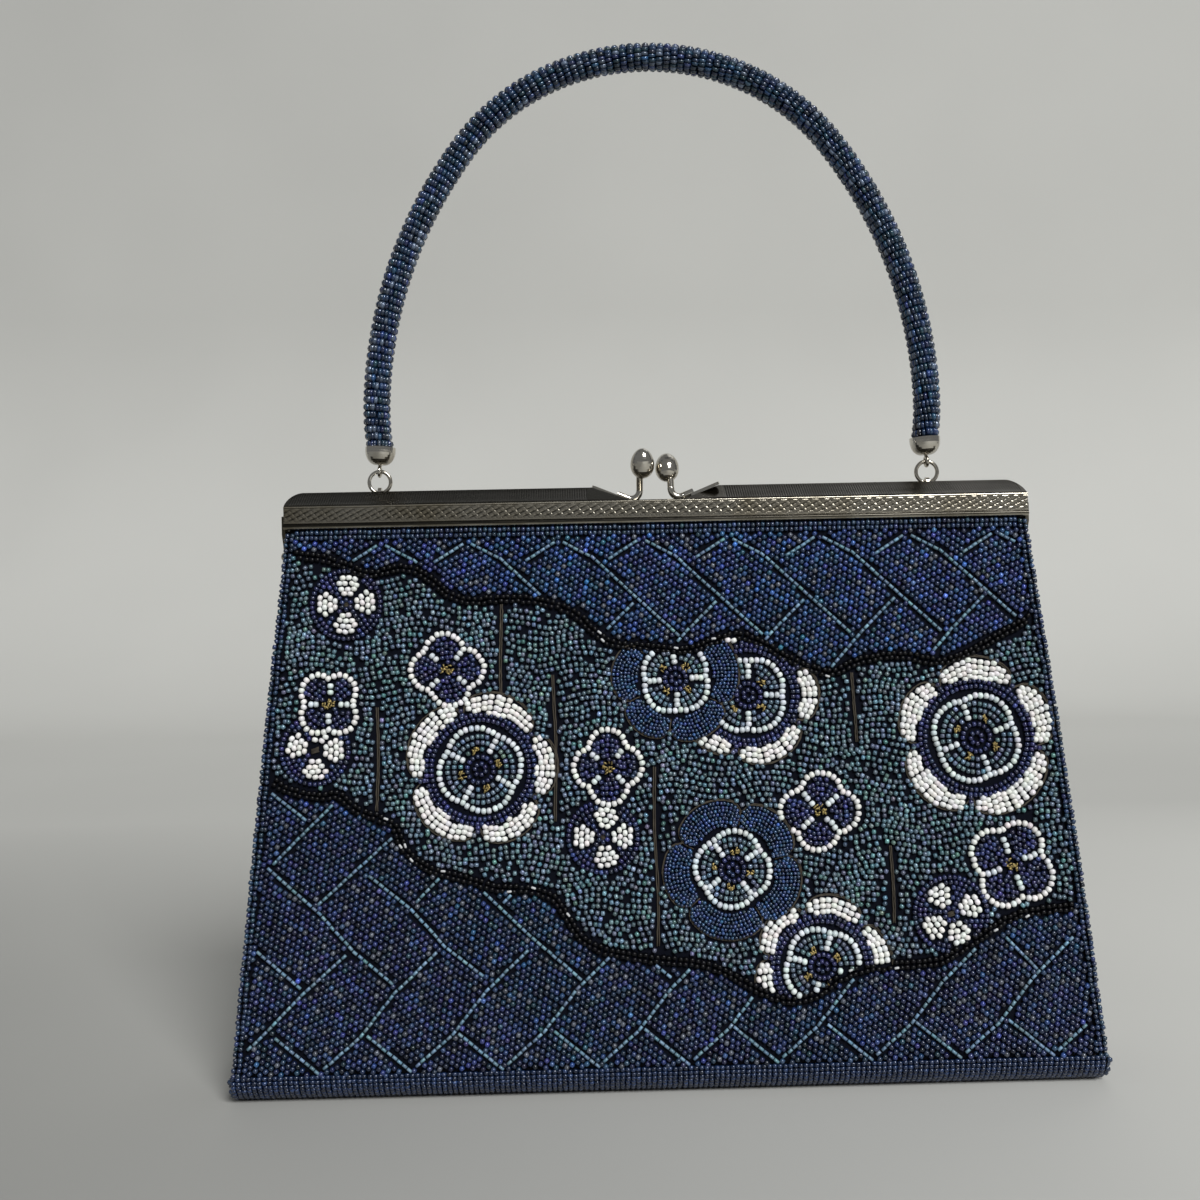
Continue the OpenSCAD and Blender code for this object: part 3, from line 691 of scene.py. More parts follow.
# middle, size and the turns of the wedges or of the petals' gaps, the lower flowers first
flowers = [
    (clusterFlower, (-79, 121.7, 9.2, (85, 178, 268, 5))),
    (clusterFlower, (-86.6, 85.6, 8.9, (75, 165, 270, 0))),
    (clusterFlower, (-15.6, 62.9, 9.2, (80, 178, 278, 0))),
    (clusterFlower, (69.8, 42.3, 9.6, (120, 215, 290, 20))),
    (outlineFlower, (-83.3, 97, 8.9, 45)),
    (outlineFlower, (-53.7, 104.9, 9.9, 96)),
    (outlineFlower, (-14, 80, 9.7, 91)),
    (outlineFlower, (38.2, 68, 10.4, 86)),
    (outlineFlower, (85.5, 54, 11.4, 61)),
    (whiteFlower, (-45.7, 80.1, 19.0, (33, 108, 190, 267, 332))),
    (whiteFlower, (78.2, 85.2, 20.0, (-10, 52, 124, 186, 262))),
    (whiteFlower, (21.5, 97.0, 17.6, (-30, 28, 95, 165, 255))),
    (blueFlower, (3.4, 101.4, 16.2, (70, 140, 205, 262, 330))),
    (whiteFlower, (37.6, 30.4, 17.2, (45, 108, 170, 240, 300))),
    (blueFlower, (16.2, 54.4, 17.4, (12, 80, 152, 220, 300))),
]

# x, and the heights between which a pair of threads runs
doubleThreads = [(-40.2, 121, 98.8), (-71.2, 95.8, 70.4), (-27.1, 103, 67), (-2.6, 79.8, 36.2), (48, 102, 84.8),
                 (55.6, 59.2, 40.4)]

# lattice lines: long ones from the peaks below the frame, long ones from the valleys above the base, and between
peaks = [-70.2, -48.4, -25.2, -4.2, 18.0, 41.0, 63.6, 86.2]
valleys = [-84.8, -62.4, -40.2, -16.8, 5.2, 27.0, 50.0, 71.8, 94.6]
upperLines = [[(p + 0.8, 136.6), (p + 8.5, 132.4), (p + 19, 122.4), (p + 30, 112)] for p in peaks]
upperLines += [[(p - 1.0, 136.6), (p - 8.6, 131.9)] for p in peaks]
upperLines += [[(p + 18.6, 120.8), (p + 10, 112.6), (p + 1.6, 103.4)] for p in peaks]
lowerLines = [[(v, 8.8), (v + 9, 16.2), (v + 17.4, 26.4), (v + 28, 36.2)] for v in valleys]
lowerLines += [[(v - 11.8, 16.6), (v - 0.8, 7.6)] for v in valleys]
lowerLines += [[(-105.5, 11.5), (-98.5, 18), (-90, 26.5), (-79, 36)],
               [(-99.5, 58.5), (-85.5, 46), (-77, 36.5), (-67.5, 28.5)],
               [(-73.5, 55), (-63, 46.5), (-55, 37.5), (-45.5, 30)], [(-46.5, 51.5), (-34, 39.5), (-21.5, 28.5)],
               [(-100, 77.5), (-88.5, 68.5)], [(-104.5, 40.5), (-90, 28)], [(-5, 33), (0.5, 28.5)],
               [(83, 36.5), (90.5, 28.5)], [(-97, 58), (-81, 73.5)], [(-86, 48), (-67.5, 64)], [(-62, 48), (-56, 54)],
               [(-40.5, 47.5), (-37.5, 50.5)], [(-105, 31.5), (-101.5, 35)]]

faceSize = dict(low=7.5, high=137.9, rowPitch=1.33, beadPitch=1.40, topRows=(138.75, 140.05), sideColumns=(0.72, 2.02),
                sideLow=7.7, sideHigh=140.6, margin=2.82, tubeMargin=3.8, tubeHigh=137, groundSplit=60)


def latticeTubes(lines):
    beads = Strung()
    for line in lines:
        px, pz, pa = alongLine(line, 1.62)
        beads.add(wobble(px, 0.05), pz, pa, "tube", "tube", 0.16)
    return beads


def groundBeads(tubes, angle):
    # rows of seed beads at a slant, bent a little by slow waves, that leave the lattice lines free
    a = radians(angle)
    pitch, rowPitch = faceSize["beadPitch"], faceSize["rowPitch"]
    u, v = np.meshgrid(np.arange(-180, 180, pitch), np.arange(-180, 180, rowPitch))
    u = wobble(u + (np.round(v / rowPitch) % 2) * pitch / 2, 0.07)
    v = wobble(v + 0.5 * np.sin(u / 9.0) + 0.3 * np.sin(u / 4.1 + v / 7), 0.06)
    x, z = (u * cos(a) - v * sin(a)).ravel(), (u * sin(a) + v * cos(a)).ravel() + 70
    ok = (z > faceSize["low"]) & (z < faceSize["high"]) & fromSides(x, z, faceSize["margin"])
    x, z = x[ok], z[ok]
    ok = farFrom(x, z, tubes, 1.02)
    x, z = x[ok], z[ok]
    beads = Strung().add(x, z, a + draw.normal(0, 0.2, len(x)), "ground", "navy", 0.50)
    # broad patches lean to violet, others to blue; towards the frame all get brighter, and a few beads are made paler
    # as painted glints
    lean = 0.5 + 0.5 * np.sin(x / 13.0 + z / 17.0 + 1.5 * np.sin(x / 31.0))
    beads.rows[:, 5] *= 1 + 0.25 * lean
    beads.rows[:, 6] *= 1.1 - 0.15 * lean
    rise = np.clip((z - 60) / 50, 0, 1)[:, None]
    beads.rows[:, 5:8] *= 1 + rise * np.array([[0.38, 0.62, 0.72]])
    # painted glints: a few beads get a paler grey-blue tone
    paintedGlints = draw.random(len(x)) < 0.07
    beads.rows[paintedGlints, 5:8] = np.array([[0.075, 0.085, 0.11]]) * draw.uniform(0.6, 1.6, (paintedGlints.sum(), 1))
    return beads


def cloudBeads(outlines, taken, seams):
    # rows that wander: a grid moved by slow waves, mostly up and down, with some beads left out; in some patches the
    # beads lie upright
    pitch, rowPitch, wave = 1.40, 1.38, 3.6
    u, v = np.meshgrid(np.arange(-110, 110, pitch), np.arange(15, 142, rowPitch))
    u = u + draw.uniform(0, pitch, (u.shape[0], 1))
    x = wobble(u + 0.5 * np.sin(v / 5.1 + 1.3 * np.sin(u / 7.0)), 0.16)
    phase = u / wave + 1.1 * np.sin(v / 5.2)
    z = wobble(v + 0.95 * np.sin(phase), 0.16)
    slope = np.arctan(0.95 / wave * np.cos(phase))
    patch = np.sin(x / 4.3 + 2.0 * np.sin(z / 6.1)) + np.sin(z / 3.7 + 1.7 * np.sin(x / 7.3))
    table = np.stack([g.ravel() for g in (x, z, slope, patch)])
    ok = inside(*table[:2], cloudBand) & fromSides(*table[:2], faceSize["margin"])
    ok &= draw.random(table.shape[1]) > 0.05
    table = table[:, ok]
    x, z = table[:2]
    ok = farFrom(x, z, taken, 1.15) & farFrom(x, z, seams, 0.82) & outsideAll(x, z, outlines)
    x, z, slope, patch = table[:, ok]
    angle = wobble(slope + np.where(patch > 1.0, pi / 2, 0), 0.5)
    beads = Strung().add(x, z, angle, "cloud", "teal", 0.3)
    green = draw.random(len(x)) < 0.3
    beads.rows[green, 5:8] *= np.array([[0.80, 1.0, 0.93]])
    return beads


def frameRows():
    # rows below the frame and columns down both sides, a tone bluer than the ground
    beads = Strung()
    for z in faceSize["topRows"]:
        x = np.arange(-halfWidth(z) + 3.2, halfWidth(z) - 3.1, 1.22)
        beads.add(wobble(x, 0.06), z + draw.normal(0, 0.06, len(x)), draw.normal(0, 0.2, len(x)),
                  "seed", "edge", 0.3)
    for inset in faceSize["sideColumns"]:
        for side in (-1, 1):
            z = np.arange(faceSize["sideLow"], faceSize["sideHigh"], 1.28)
            z = wobble(z, 0.09)
            x = wobble(side * (halfWidth(z) - inset), 0.1)
            beads.add(x, z, draw.normal(0, 0.5, len(z)), "seed", "edge", 0.35)
    return beads


def placeOnFace(name, beads, side, shape, finish, depth=None):
    # beads of a table onto the front (side -1) or the back (side 1), half their width behind the
    # bead faces where no depth is given
    r = beads.rows
    place, outward, rise = faceFrame(beads.x, beads.z, r[:, 4] / 2 if depth is None else depth, side)
    along = np.cos(r[:, 2])[:, None] * np.array([[1.0, 0, 0]]) + np.sin(r[:, 2])[:, None] * rise
    bends(addBeads(name, place, along, outward, r[:, 3], r[:, 4], r[:, 5:8], shape, finish), side, "beads")


print("front pattern: flowers")
figures = [make(*values) for make, values in flowers]
outlines = [f[2] for f in figures]
whiteRows, smallRows, threadLines = [], [], []
for k, (beads, threads, _) in enumerate(figures):
    later = outlines[k + 1:]
    beads.keep(outsideAll(beads.x, beads.z, later) & inside(beads.x, beads.z, innerBand))
    for kind, line in threads:
        x, z = line.T
        ok = inside(x, z, cloudBand) & fromSides(x, z, 1.5) & outsideAll(x, z, later)
        # keep the stretches that show
        breaks = np.flatnonzero(np.diff(np.concatenate([[0], ok.astype(int), [0]])))
        threadLines += [(kind, line[a:b]) for a, b in zip(breaks[::2], breaks[1::2]) if b - a > 1]
    wide = beads.rows[:, 4] > 1.4
    whiteRows.append(beads.rows[wide])
    smallRows.append(beads.rows[~wide])
whites, smalls = Strung(*whiteRows), Strung(*smallRows)

borders = Strung()
for line in (cloudTop, cloudLow):
    turnOut = np.gradient(line, axis=0)[:, ::-1] * (-1, 1)
    for shift in (-0.62, 0.62):
        px, pz, pa = alongLine(line + shift * unit(turnOut), 1.42)
        borders.add(wobble(px, 0.1), wobble(pz, 0.1),
                    wobble(pa, 0.15), "jet", "black", 0.3)
borders.keep(fromSides(borders.x, borders.z, 3.4) & farFrom(borders.x, borders.z, whites.rows, 1.15))
# painted glints: a few border beads made narrow and pale grey
glint = draw.random(len(borders)) < 0.022
borders.rows[glint, 4:8] = (0.62, 0.55, 0.56, 0.57)

threadDots = np.concatenate([np.stack([np.full(40, x) + s, np.linspace(low, high, 40)], -1)
                             for x, high, low in doubleThreads for s in (-0.2, 0.2)])
edgeRows = frameRows()
tubes = latticeTubes(upperLines + lowerLines)
tubes.keep(outsideAll(tubes.x, tubes.z, [cloudBand]) & farFrom(tubes.x, tubes.z, borders.rows, 1.2)
           & fromSides(tubes.x, tubes.z, faceSize["tubeMargin"]) & (tubes.z < faceSize["tubeHigh"]))
ground = groundBeads(np.concatenate([borders.rows, tubes.rows]), -38)
ground.keep(~inside(ground.x, ground.z, cloudBand))
cloud = cloudBeads([shrunk(o, -0.35) for o in outlines], borders.rows, threadDots)
print("beads on the front:", *(len(s) for s in (whites, smalls, borders, tubes, ground, cloud)))

isLow = ground.z < faceSize["groundSplit"]
for label, beads, shape, finish, depth in (
        ("white_flower_beads", whites, bigShape, opaqueBeads, 0.72),
        ("dark_flower_beads", smalls, seedShape, glassBeads, None),
        ("cloud_border_beads", borders, seedShape, jetBeads, None),
        ("lattice_tubes", tubes, tubeShape, opaqueBeads, 0.55),
        ("edge_beads", edgeRows, seedShape, glassBeads, None),
        ("cloud_beads", cloud, seedShape, glassBeads, None),
        ("lower_ground_beads", Strung(ground.rows[isLow]), seedShape, glassBeads, None),
        ("upper_ground_beads", Strung(ground.rows[~isLow]), seedShape, glassBeads, None)):
    placeOnFace("front_" + label, beads, -1, shape, finish, depth)


def addThreads(tone, lines, radius, depth, finish):
    # thin threads couched on the front, along lines in x and z
    points, faces = joinParts([tubeParts(faceFrame(*line.T, depth, -1)[0], radius, 5) for line in lines])
    bends(addMesh(f"front_{tone}_threads", points, faces, finish, varied(tone, len(points), 0.25)), -1, "cord")


brown, gold = ([line for kind, line in threadLines if kind == wanted] for wanted in ("brown", "gold"))
brownLines = [wobble(line, 0.04) for line in brown]
brownLines += [wobble(line + 0.27, 0.05) for line in brown if len(line) > 6]
for x, high, low in doubleThreads:
    z = np.linspace(high, low, 26)
    brownLines += [wobble(np.stack([np.full(26, x + s) + 0.25 * np.sin(z / 6), z], -1), 0.04) for s in (-0.22, 0.22)]
addThreads("brown", brownLines, 0.17, 0.8, couchingThread)
addThreads("gold", gold, 0.21, 0.42, goldThread)

# the cloth under the beads: depth of its two sides behind the bead faces, and the height where it enters the frame
cloth = dict(low=7.35, outer=1.08, inner=2.38, mouth=140.7, inFrame=93.6, inset=0.55)


def faceCloth(label, side):
    # a closed thin wall under the beads, which runs up into the frame's channel
    z = np.concatenate([np.linspace(cloth["low"], 140.6, 60), [140.9, 142.5, 144.3]])[:, None]
    u = np.linspace(-1, 1, 61)[None]
    x = u * np.where(z > cloth["mouth"], cloth["inFrame"], halfWidth(z) - cloth["inset"])
    z = z + 0 * u
    soften = 0.5 * np.abs(u) ** 40
    outer = faceFrame(x, z, cloth["outer"] + soften + np.where(z > cloth["mouth"], 0.25, 0.0), side)[0]
    inner = faceFrame(x, z, cloth["inner"] - soften + 0 * x, side)[0]
    piece = addMesh(label + "_cloth_under_beads", *sheetParts(outer, inner, side > 0), backing)
    bends(piece, side, "beads", label + "_cloth")


faceCloth("front", -1)
faceCloth("back", 1)

# back: the lattice goes on over the whole face, in a basket weave
print("back pattern")
weave = dict(cell=17.2, angle=40, gap=0.09, low=8.6, high=137.2, middle=72.0, reach=8, groundAngle=38)


def weaveLines():
    # two families of parallel lines; where they cross, one goes on and the other stops short, in turn
    lines, share, every = [], 1 - weave["gap"], range(-weave["reach"], weave["reach"] + 1)
    a, b = (np.array([cos(t), sin(t)]) * weave["cell"] for t in (radians(-weave["angle"]), radians(weave["angle"])))
    for i in every:
        for j in every:
            if (i + j) % 2 == 0:
                at = np.array([0.0, weave["middle"]]) + i * a + j * b
                lines.append([at - a * share, at + a * share])
                lines.append([at + a - b * share, at + a + b * share])
    return lines


backTubes = latticeTubes(weaveLines())
backTubes.keep((backTubes.z > weave["low"]) & (backTubes.z < weave["high"])
               & fromSides(backTubes.x, backTubes.z, faceSize["tubeMargin"]))
backGround = groundBeads(backTubes.rows, weave["groundAngle"])
placeOnFace("back_lattice_tubes", backTubes, 1, tubeShape, opaqueBeads, 0.55)
placeOnFace("back_edge_beads", frameRows(), 1, seedShape, glassBeads)
for label, low, high in (("lower", 7, 48), ("middle", 48, 92), ("upper", 92, 140)):
    part = (backGround.z >= low) & (backGround.z < high)
    placeOnFace(f"back_{label}_ground_beads", Strung(backGround.rows[part]), 1, seedShape, glassBeads)
print("beads on the back:", len(backGround), len(backTubes))

# base: cloth with turned-up edges, and beads in columns that run round it
base = dict(half=108.0, columns=1.28, bead=(1.12, 1.36), beadDepth=0.70, outer=1.1, inner=2.35, endInner=2.3,
            endTop=6.98, endX=107.4, endReach=18.2, endLow=0.8, endHigh=6.3)


def basePath(s, depth):
    # place on the base's section at run s from the middle of the bottom: flat, then a quarter circle of radius 7
    flat, side, run = body["depth"] - body["roll"], np.sign(s), np.abs(s)
    a = np.clip((run - flat) / body["roll"], 0, pi / 2)
    r = body["roll"] - depth
    y = np.where(run < flat, run, flat + r * np.sin(a))
    z = np.where(run < flat, depth, body["roll"] - r * np.cos(a))
    return side * y, z, side * np.sin(a), -np.cos(a)


runEnd = body["depth"] - body["roll"] + body["roll"] * pi / 2
s, x = np.meshgrid(np.linspace(-runEnd + 0.1, runEnd - 0.1, 39),
                   np.arange(-base["half"] + 1.3, base["half"] - 1.2, base["columns"]))
s, x = wobble(s.ravel(), 0.06), wobble(x.ravel(), 0.05)
y, z, ny, nz = basePath(s, base["beadDepth"])
along = unit(np.stack([draw.normal(0, 0.1, len(x)), -nz, ny], -1))
tint = varied("navy", len(x), 0.3) * 0.85
ey, ez = (g.ravel() for g in np.meshgrid(np.linspace(-base["endReach"], base["endReach"], 29),
                                           np.linspace(base["endLow"], base["endHigh"], 5)))
flat = body["depth"] - body["roll"]
ok = (np.abs(ey) < flat) | (np.hypot(np.abs(ey) - flat, ez - body["roll"]) < 6.5)
endCentre = np.concatenate([np.stack([np.full(ok.sum(), side * base["endX"]), ey[ok], ez[ok]], -1)
                            for side in (-1, 1)])
centre = np.concatenate([np.stack([x, y, z], -1), endCentre])
outward = np.concatenate([np.stack([0 * x, ny, nz], -1), np.sign(endCentre) * (1, 0, 0)])
along = np.concatenate([along, np.tile(yAxis, (len(endCentre), 1))])
tint = np.concatenate([tint, varied("edge", len(endCentre), 0.3)])
rides(addBeads("base_beads", centre, along, outward, *base["bead"], tint, seedShape, glassBeads), "bag", "beads")
print("beads on the base:", len(centre))

# the tray's wall, and at either end a flat closed plate with the base's section for its outline
s, x = grid((-runEnd, runEnd, 61), (-base["half"] + 0.9, base["half"] - 0.9, 41))
parts = [sheetParts(*(np.stack([x, *basePath(s, base[wall])[:2]], -1) for wall in ("outer", "inner")))]
y, z = basePath(np.linspace(-runEnd, runEnd, 40), base["outer"])[:2]
for side in (-1, 1):
    outer, inner = (np.stack([np.stack([0 * y + side * (base["half"] - inset), y, top], -1)
                              for top in (z, 0 * z + base["endTop"])]) for inset in (base["outer"], base["endInner"]))
    parts.append(sheetParts(outer, inner, side < 0))
rides(addMesh("base_cloth_under_beads", *joinParts(parts), backing), "bag", "beads", "base_cloth")

# gussets
gusset = dict(foldLow=1.0, foldHigh=5.0, top=137.3, knee=129.2, topX=93.79, low=7.4, start=2.7, frontGap=2.7,
              lowX=107.7, narrowing=13.91, kneeRise=126.5, rise=134.8, beadDepth=0.70, bead=(1.16, 1.36), outer=1.1,
              inner=1.95, liningOuter=2.75, liningInner=3.1)


def gussetFace(t, z, depth):
    # folding side at share t from the front edge (-1) to the back edge (1): it goes inwards towards its middle line
    up = z - gusset["start"]
    edge = np.where(z > gusset["knee"], gusset["topX"], gusset["lowX"] - gusset["narrowing"] * up / gusset["kneeRise"])
    fold = gusset["foldLow"] + (gusset["foldHigh"] - gusset["foldLow"]) * up / gusset["rise"]
    x = edge - fold * (1 - np.sqrt(t * t + 0.004)) - depth
    return np.stack([x, t * (skinDepth(z) - gusset["frontGap"]), z + 0 * t], -1)


def gussetWall(side, low, reach, sizes, outerDepth, innerDepth):
    # closed thin wall along a gusset, mirrored for the left one
    z, t = grid((low, gusset["top"], sizes), (-reach, reach, 21))
    walls = [gussetFace(t, z, depth) * (side, 1, 1) for depth in (outerDepth, innerDepth)]
    return sheetParts(*walls, side < 0)


def addGusset(label, side):
    centres = []
    for height in np.arange(8.1, gusset["top"] - 0.4, 1.33):
        reach = float(skinDepth(height)) - gusset["frontGap"] - 0.6
        y = np.linspace(-reach, reach, max(3, 1 + round(2 * reach / 1.36)))
        centres.append(np.stack([y / (reach + 0.6), np.full(len(y), height)], -1))
    t, z = np.concatenate(centres).T
    p = gussetFace(t, z, gusset["beadDepth"])
    along = unit(gussetFace(t + 0.02, z, gusset["beadDepth"]) - p)
    outward = unit(np.cross(along, unit(gussetFace(t, z + 0.1, gusset["beadDepth"]) - p)))
    p, along, outward = (v * (side, 1, 1) for v in (p, along, outward))
    tint = varied("navy", len(p), 0.32) * 1.15
    rides(addBeads(label + "_gusset_beads", p, along, outward, *gusset["bead"], tint, seedShape, glassBeads), "bag",
          "beads")
    wall = gussetWall(side, gusset["low"], 1, 50, gusset["outer"], gusset["inner"])
    rides(addMesh(label + "_gusset_cloth", *wall, backing), "bag", "beads", label + "_gusset")


addGusset("left", -1)
addGusset("right", 1)

# lining and pocket
lining = dict(low=5.2, top=144.2, inset=6.1, outer=4.12, inner=4.42, mouth=140.9, sideLow=5.3, sideReach=0.82)
pocket = dict(low=40.2, high=94.8, half=54.9, outer=4.86, inner=5.3, gape=0.12, hem=0.14, hemLow=88, hemHigh=94.6)


def liningWall(label, side):
    # satin hung inside a face, with slow ripples across, turned in at the top
    z, u = grid((lining["low"], lining["top"], 90), (-1, 1, 121))
    x = u * (halfWidth(z) - lining["inset"])
    ripple = 0.10 * np.sin(x / 3.3 + 1.5 * np.sin(z / 21)) * np.sin(pi * np.clip((z - 5) / 132, 0, 1))
    walls = []
    for depth in (lining["outer"], lining["inner"]):
        walls.append(faceFrame(x, np.minimum(z, lining["mouth"]), depth + ripple, side)[0])
        walls[-1][..., 2] = z
    piece = addMesh(label + "_satin_lining", *sheetParts(*walls, side > 0), satin)
    bends(piece, side, "satin", label + "_lining", low=bend["boardTop"])


liningWall("front", -1)
liningWall("back", 1)

# satin behind both gussets, folded as they are
walls = [gussetWall(side, lining["sideLow"], lining["sideReach"], 60, gusset["liningOuter"], gusset["liningInner"])
         for side in (-1, 1)]
rides(addMesh("side_satin_linings", *joinParts(walls), satin), "bag", "satin", "side_linings")

# a flat pocket with a doubled hem at its mouth, which gapes a little in the middle
z, u = grid((pocket["low"], pocket["high"], 60), (-pocket["half"], pocket["half"], 80))
gape = pocket["gape"] * np.clip((z - 60) / 35, 0, 1) * (1 - (u / 55) ** 2)
hem = pocket["hem"] * (z > pocket["hemLow"]) * (z < pocket["hemHigh"])
outer, inner = faceFrame(u, z, pocket["outer"] + 0 * z, 1)[0], faceFrame(u, z, pocket["inner"] + gape + hem, 1)[0]
rides(addMesh("satin_slip_pocket", *sheetParts(inner, outer), satin), "bag", "satin", "slip_pocket")
print("lining hung")


# solids that show as they are get their finish
def dress(nodes, finish):
    for node in nodes:
        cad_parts[node].data.materials.clear()
        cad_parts[node].data.materials.append(finish.material)


dress(("base_board", "front_board", "back_board"), buckram)

# cords in the frame
paperCord = dict(half=92.0, y=1.8, radius=1.08, strands=3, winds=38)


def addPaperCord(label, side):
    # strands that wind round the line between two places
    t = np.linspace(0, 1, 400)
    height = jaw["eave"] - jaw["sheet"] - 1.15
    ends = np.array([[x, side * paperCord["y"], height] for x in (-paperCord["half"], paperCord["half"])])
    line = ends[:1] * (1 - t[:, None]) + ends[1:] * t[:, None]
    parts = []
    for k in range(paperCord["strands"]):
        a = 2 * pi * (k / paperCord["strands"] + t * paperCord["winds"])
        offset = np.stack([0 * a, np.cos(a), np.sin(a)], -1) * paperCord["radius"] * 0.5
        parts.append(tubeParts(line + offset, paperCord["radius"] * 0.5, 6))
    piece = addMesh(label + "_paper_cord", *joinParts(parts), cordFinish)
    rides(piece, label + "_jaw", "cord", label + "_frame_cord")


addPaperCord("front", -1)
addPaperCord("rear", 1)

# frame: folded channels with ribbed roof, engraved band and rolled lip
engraving = dict(ribPitch=0.62, ribDepth=0.11, strokePitch=2.7, strokeLean=2.0, rowPitch=0.82, strokeDepth=0.16,
                 step=0.155, bandLines=26)
arm = dict(thick=0.9, plateThick=0.85, plateX=94.2, plate=(0.5, 4.4), plateTop=143.1, capMiddle=(3.4, 144.0))
inner, outer, lip, band, eave, ridge = (jaw[k] for k in ("inner", "outer", "lip", "band", "eave", "ridge"))


def roofTop(x):
    # height of the roof's edge at x: the ridge, less the rounded corners and the cut for the clasp
    r = jaw["corner"]
    over = np.clip(np.abs(x) - (jaw["half"] - r), 0, r)
    corner = ridge - r + np.sqrt(np.maximum(r * r - over * over, 0))
    cut = eave + (ridge - eave) * np.clip((np.abs(x) - jaw["notchLow"]) / (jaw["notchHigh"] - jaw["notchLow"]), 0, 1)
    return np.minimum(corner, cut)


def jawSurface(x):
    # section of a jaw as lines of (distance from the middle plane, height, painted shade), one after the other round
    # the channel
    top = roofTop(x)
    fall = (outer - inner) / (ridge - eave)
    lines = []
    put = lambda *values: lines.append([v + 0 * x for v in values])
    # inner wall of the channel: painted shade of 0.6
    for t in (0.0, 0.5, 0.93, 1.0):
        put(inner, lip + (top - 0.12 - lip) * t, 0.6)
    # ribbed roof: a painted dark reflection over all of it, and painted shade in the grooves between the ribs
    rib = 0.5 + 0.5 * np.cos(2 * pi * x / engraving["ribPitch"])
    rib = rib * (np.abs(x) > jaw["notchHigh"] + 1) * (np.abs(x) < jaw["half"] - 1.2)
    for t in (0.0, 0.03, 0.09, 0.35, 0.65, 0.90, 0.95):
        z = top + (eave + 0.25 - top) * t
        ribbed = 0.05 < t < 0.93
        cut = engraving["ribDepth"] * rib * ribbed
        put(inner + (ridge - z) * fall - cut * 0.55, z - cut * 0.8, 0.21 - 0.19 * rib * ribbed)
    # a beading at the eave in the full tone, with painted shade in the groove on either side of it
    for a in (150, 100, 50, 0, -50, -90):
        put(outer - 0.16 + 0.20 * cos(radians(a)), eave - 0.15 + 0.22 * sin(radians(a)),
            0.1 if a in (150, -90) else 1.0)
    # band: rows of slanted dashes sunk into it, each row a step on from the one above; painted shade darkens the sunk
    # dashes
    high, low = eave - 0.5, band + 0.25
    for z in np.linspace(high, low, engraving["bandLines"]):
        lean = (x - (z - low) * engraving["strokeLean"]) / engraving["strokePitch"]
        row = 0.5 + 0.5 * cos(2 * pi * (z - low) / engraving["rowPitch"])
        wave = np.clip(np.cos(2 * pi * lean), 0, 1) ** 1.3 * (0.25 + 0.75 * row)
        fine = np.clip(np.cos(2 * pi * (x + (z - low) * 0.9) / 1.35), 0, 1) ** 2 * (1 - row) * 0.5
        edge = max(0.0, min(1.0, 5 * (high - z) / (high - low), 5 * (z - low) / (high - low)))
        sunk = np.clip(wave + fine, 0, 1) * edge
        put(outer - 0.02 - engraving["strokeDepth"] * sunk, z, 0.92 - 0.91 * np.sqrt(sunk))
    # painted shade: a dark line in the crease between the band and the lip
    put(outer, band + 0.12, 1.0)
    put(outer - 0.05, band + 0.02, 0.3)
    put(outer - 0.42, band - 0.02, 0.02)
    # rolled lip, dark at its front as it mirrors the dark room
    r = jaw["lipRadius"]
    for a in (105, 70, 35, 0, -35, -70, -90):
        put(outer + r * cos(radians(a)), lip + r + r * sin(radians(a)), 0.05 if a > -10 else 1.0)
    # inside faces of the channel's sheet: painted shade of 0.5
    under = 146.25
    for d, z in ((outer, lip), (outer, under), (inner, under), (inner, lip)):
        put(d - jaw["sheet"] if d == outer else d + jaw["sheet"], z, 0.5)
    return tuple(np.stack(v) for v in zip(*lines))


def platePart(outline, x0, x1):
    # flat plate between two places along X, with the outline in y and z and its edges rounded a little
    outline = np.asarray(outline, float)
    middle, n, rounding = outline.mean(0), len(outline), 0.14
    inset = middle + (outline - middle) * (1 - rounding / np.linalg.norm(outline - middle, axis=1, keepdims=True))
    low, high = min(x0, x1), max(x0, x1)
    rings = [np.column_stack([np.full(n, x), o]) for x, o in
             ((low, inset), (low + rounding, outline), (high - rounding, outline), (high, inset))]
    points = np.concatenate(rings + [[[low, *middle]], [[high, *middle]]])
    k = np.arange(n)
    after = np.roll(k, -1)
    faces = [gridFaces(4, n, False, True), fan(k, after, 4 * n), fan(3 * n + after, 3 * n + k, 4 * n + 1)]
    area = np.sum(outline[:, 0] * np.roll(outline[:, 1], -1) - np.roll(outline[:, 0], -1) * outline[:, 1])
    return points, ([f[:, ::-1] for f in faces] if area > 0 else faces)


def armOutline(side):
    # side view of an arm: from the end of the channel down to the eye at the hinge, and a narrow tail
    out, inn, r, tail = 4.45, 0.5, 2.3, 1.1
    hinge, shoulder, low = jaw["hinge"], 140.0, 130.6
    pts = [(out, 144.6), (inn, 144.6), (inn, shoulder), (-0.8, 137.4), (-r * 0.92, hinge + 0.9), (-r, hinge)]
    pts += [(-r * cos(t), hinge - r * sin(t)) for t in (0.35, 0.8)]
    pts += [(-tail * cos(t), low - tail * sin(t)) for t in np.linspace(0, pi, 10)]
    pts += [(r * cos(t), hinge - r * sin(t)) for t in (0.8, 0.35)]
    pts += [(r, hinge), (r + 0.9, 137.4), (out, shoulder)]
    return np.array(pts) * (side, 1)


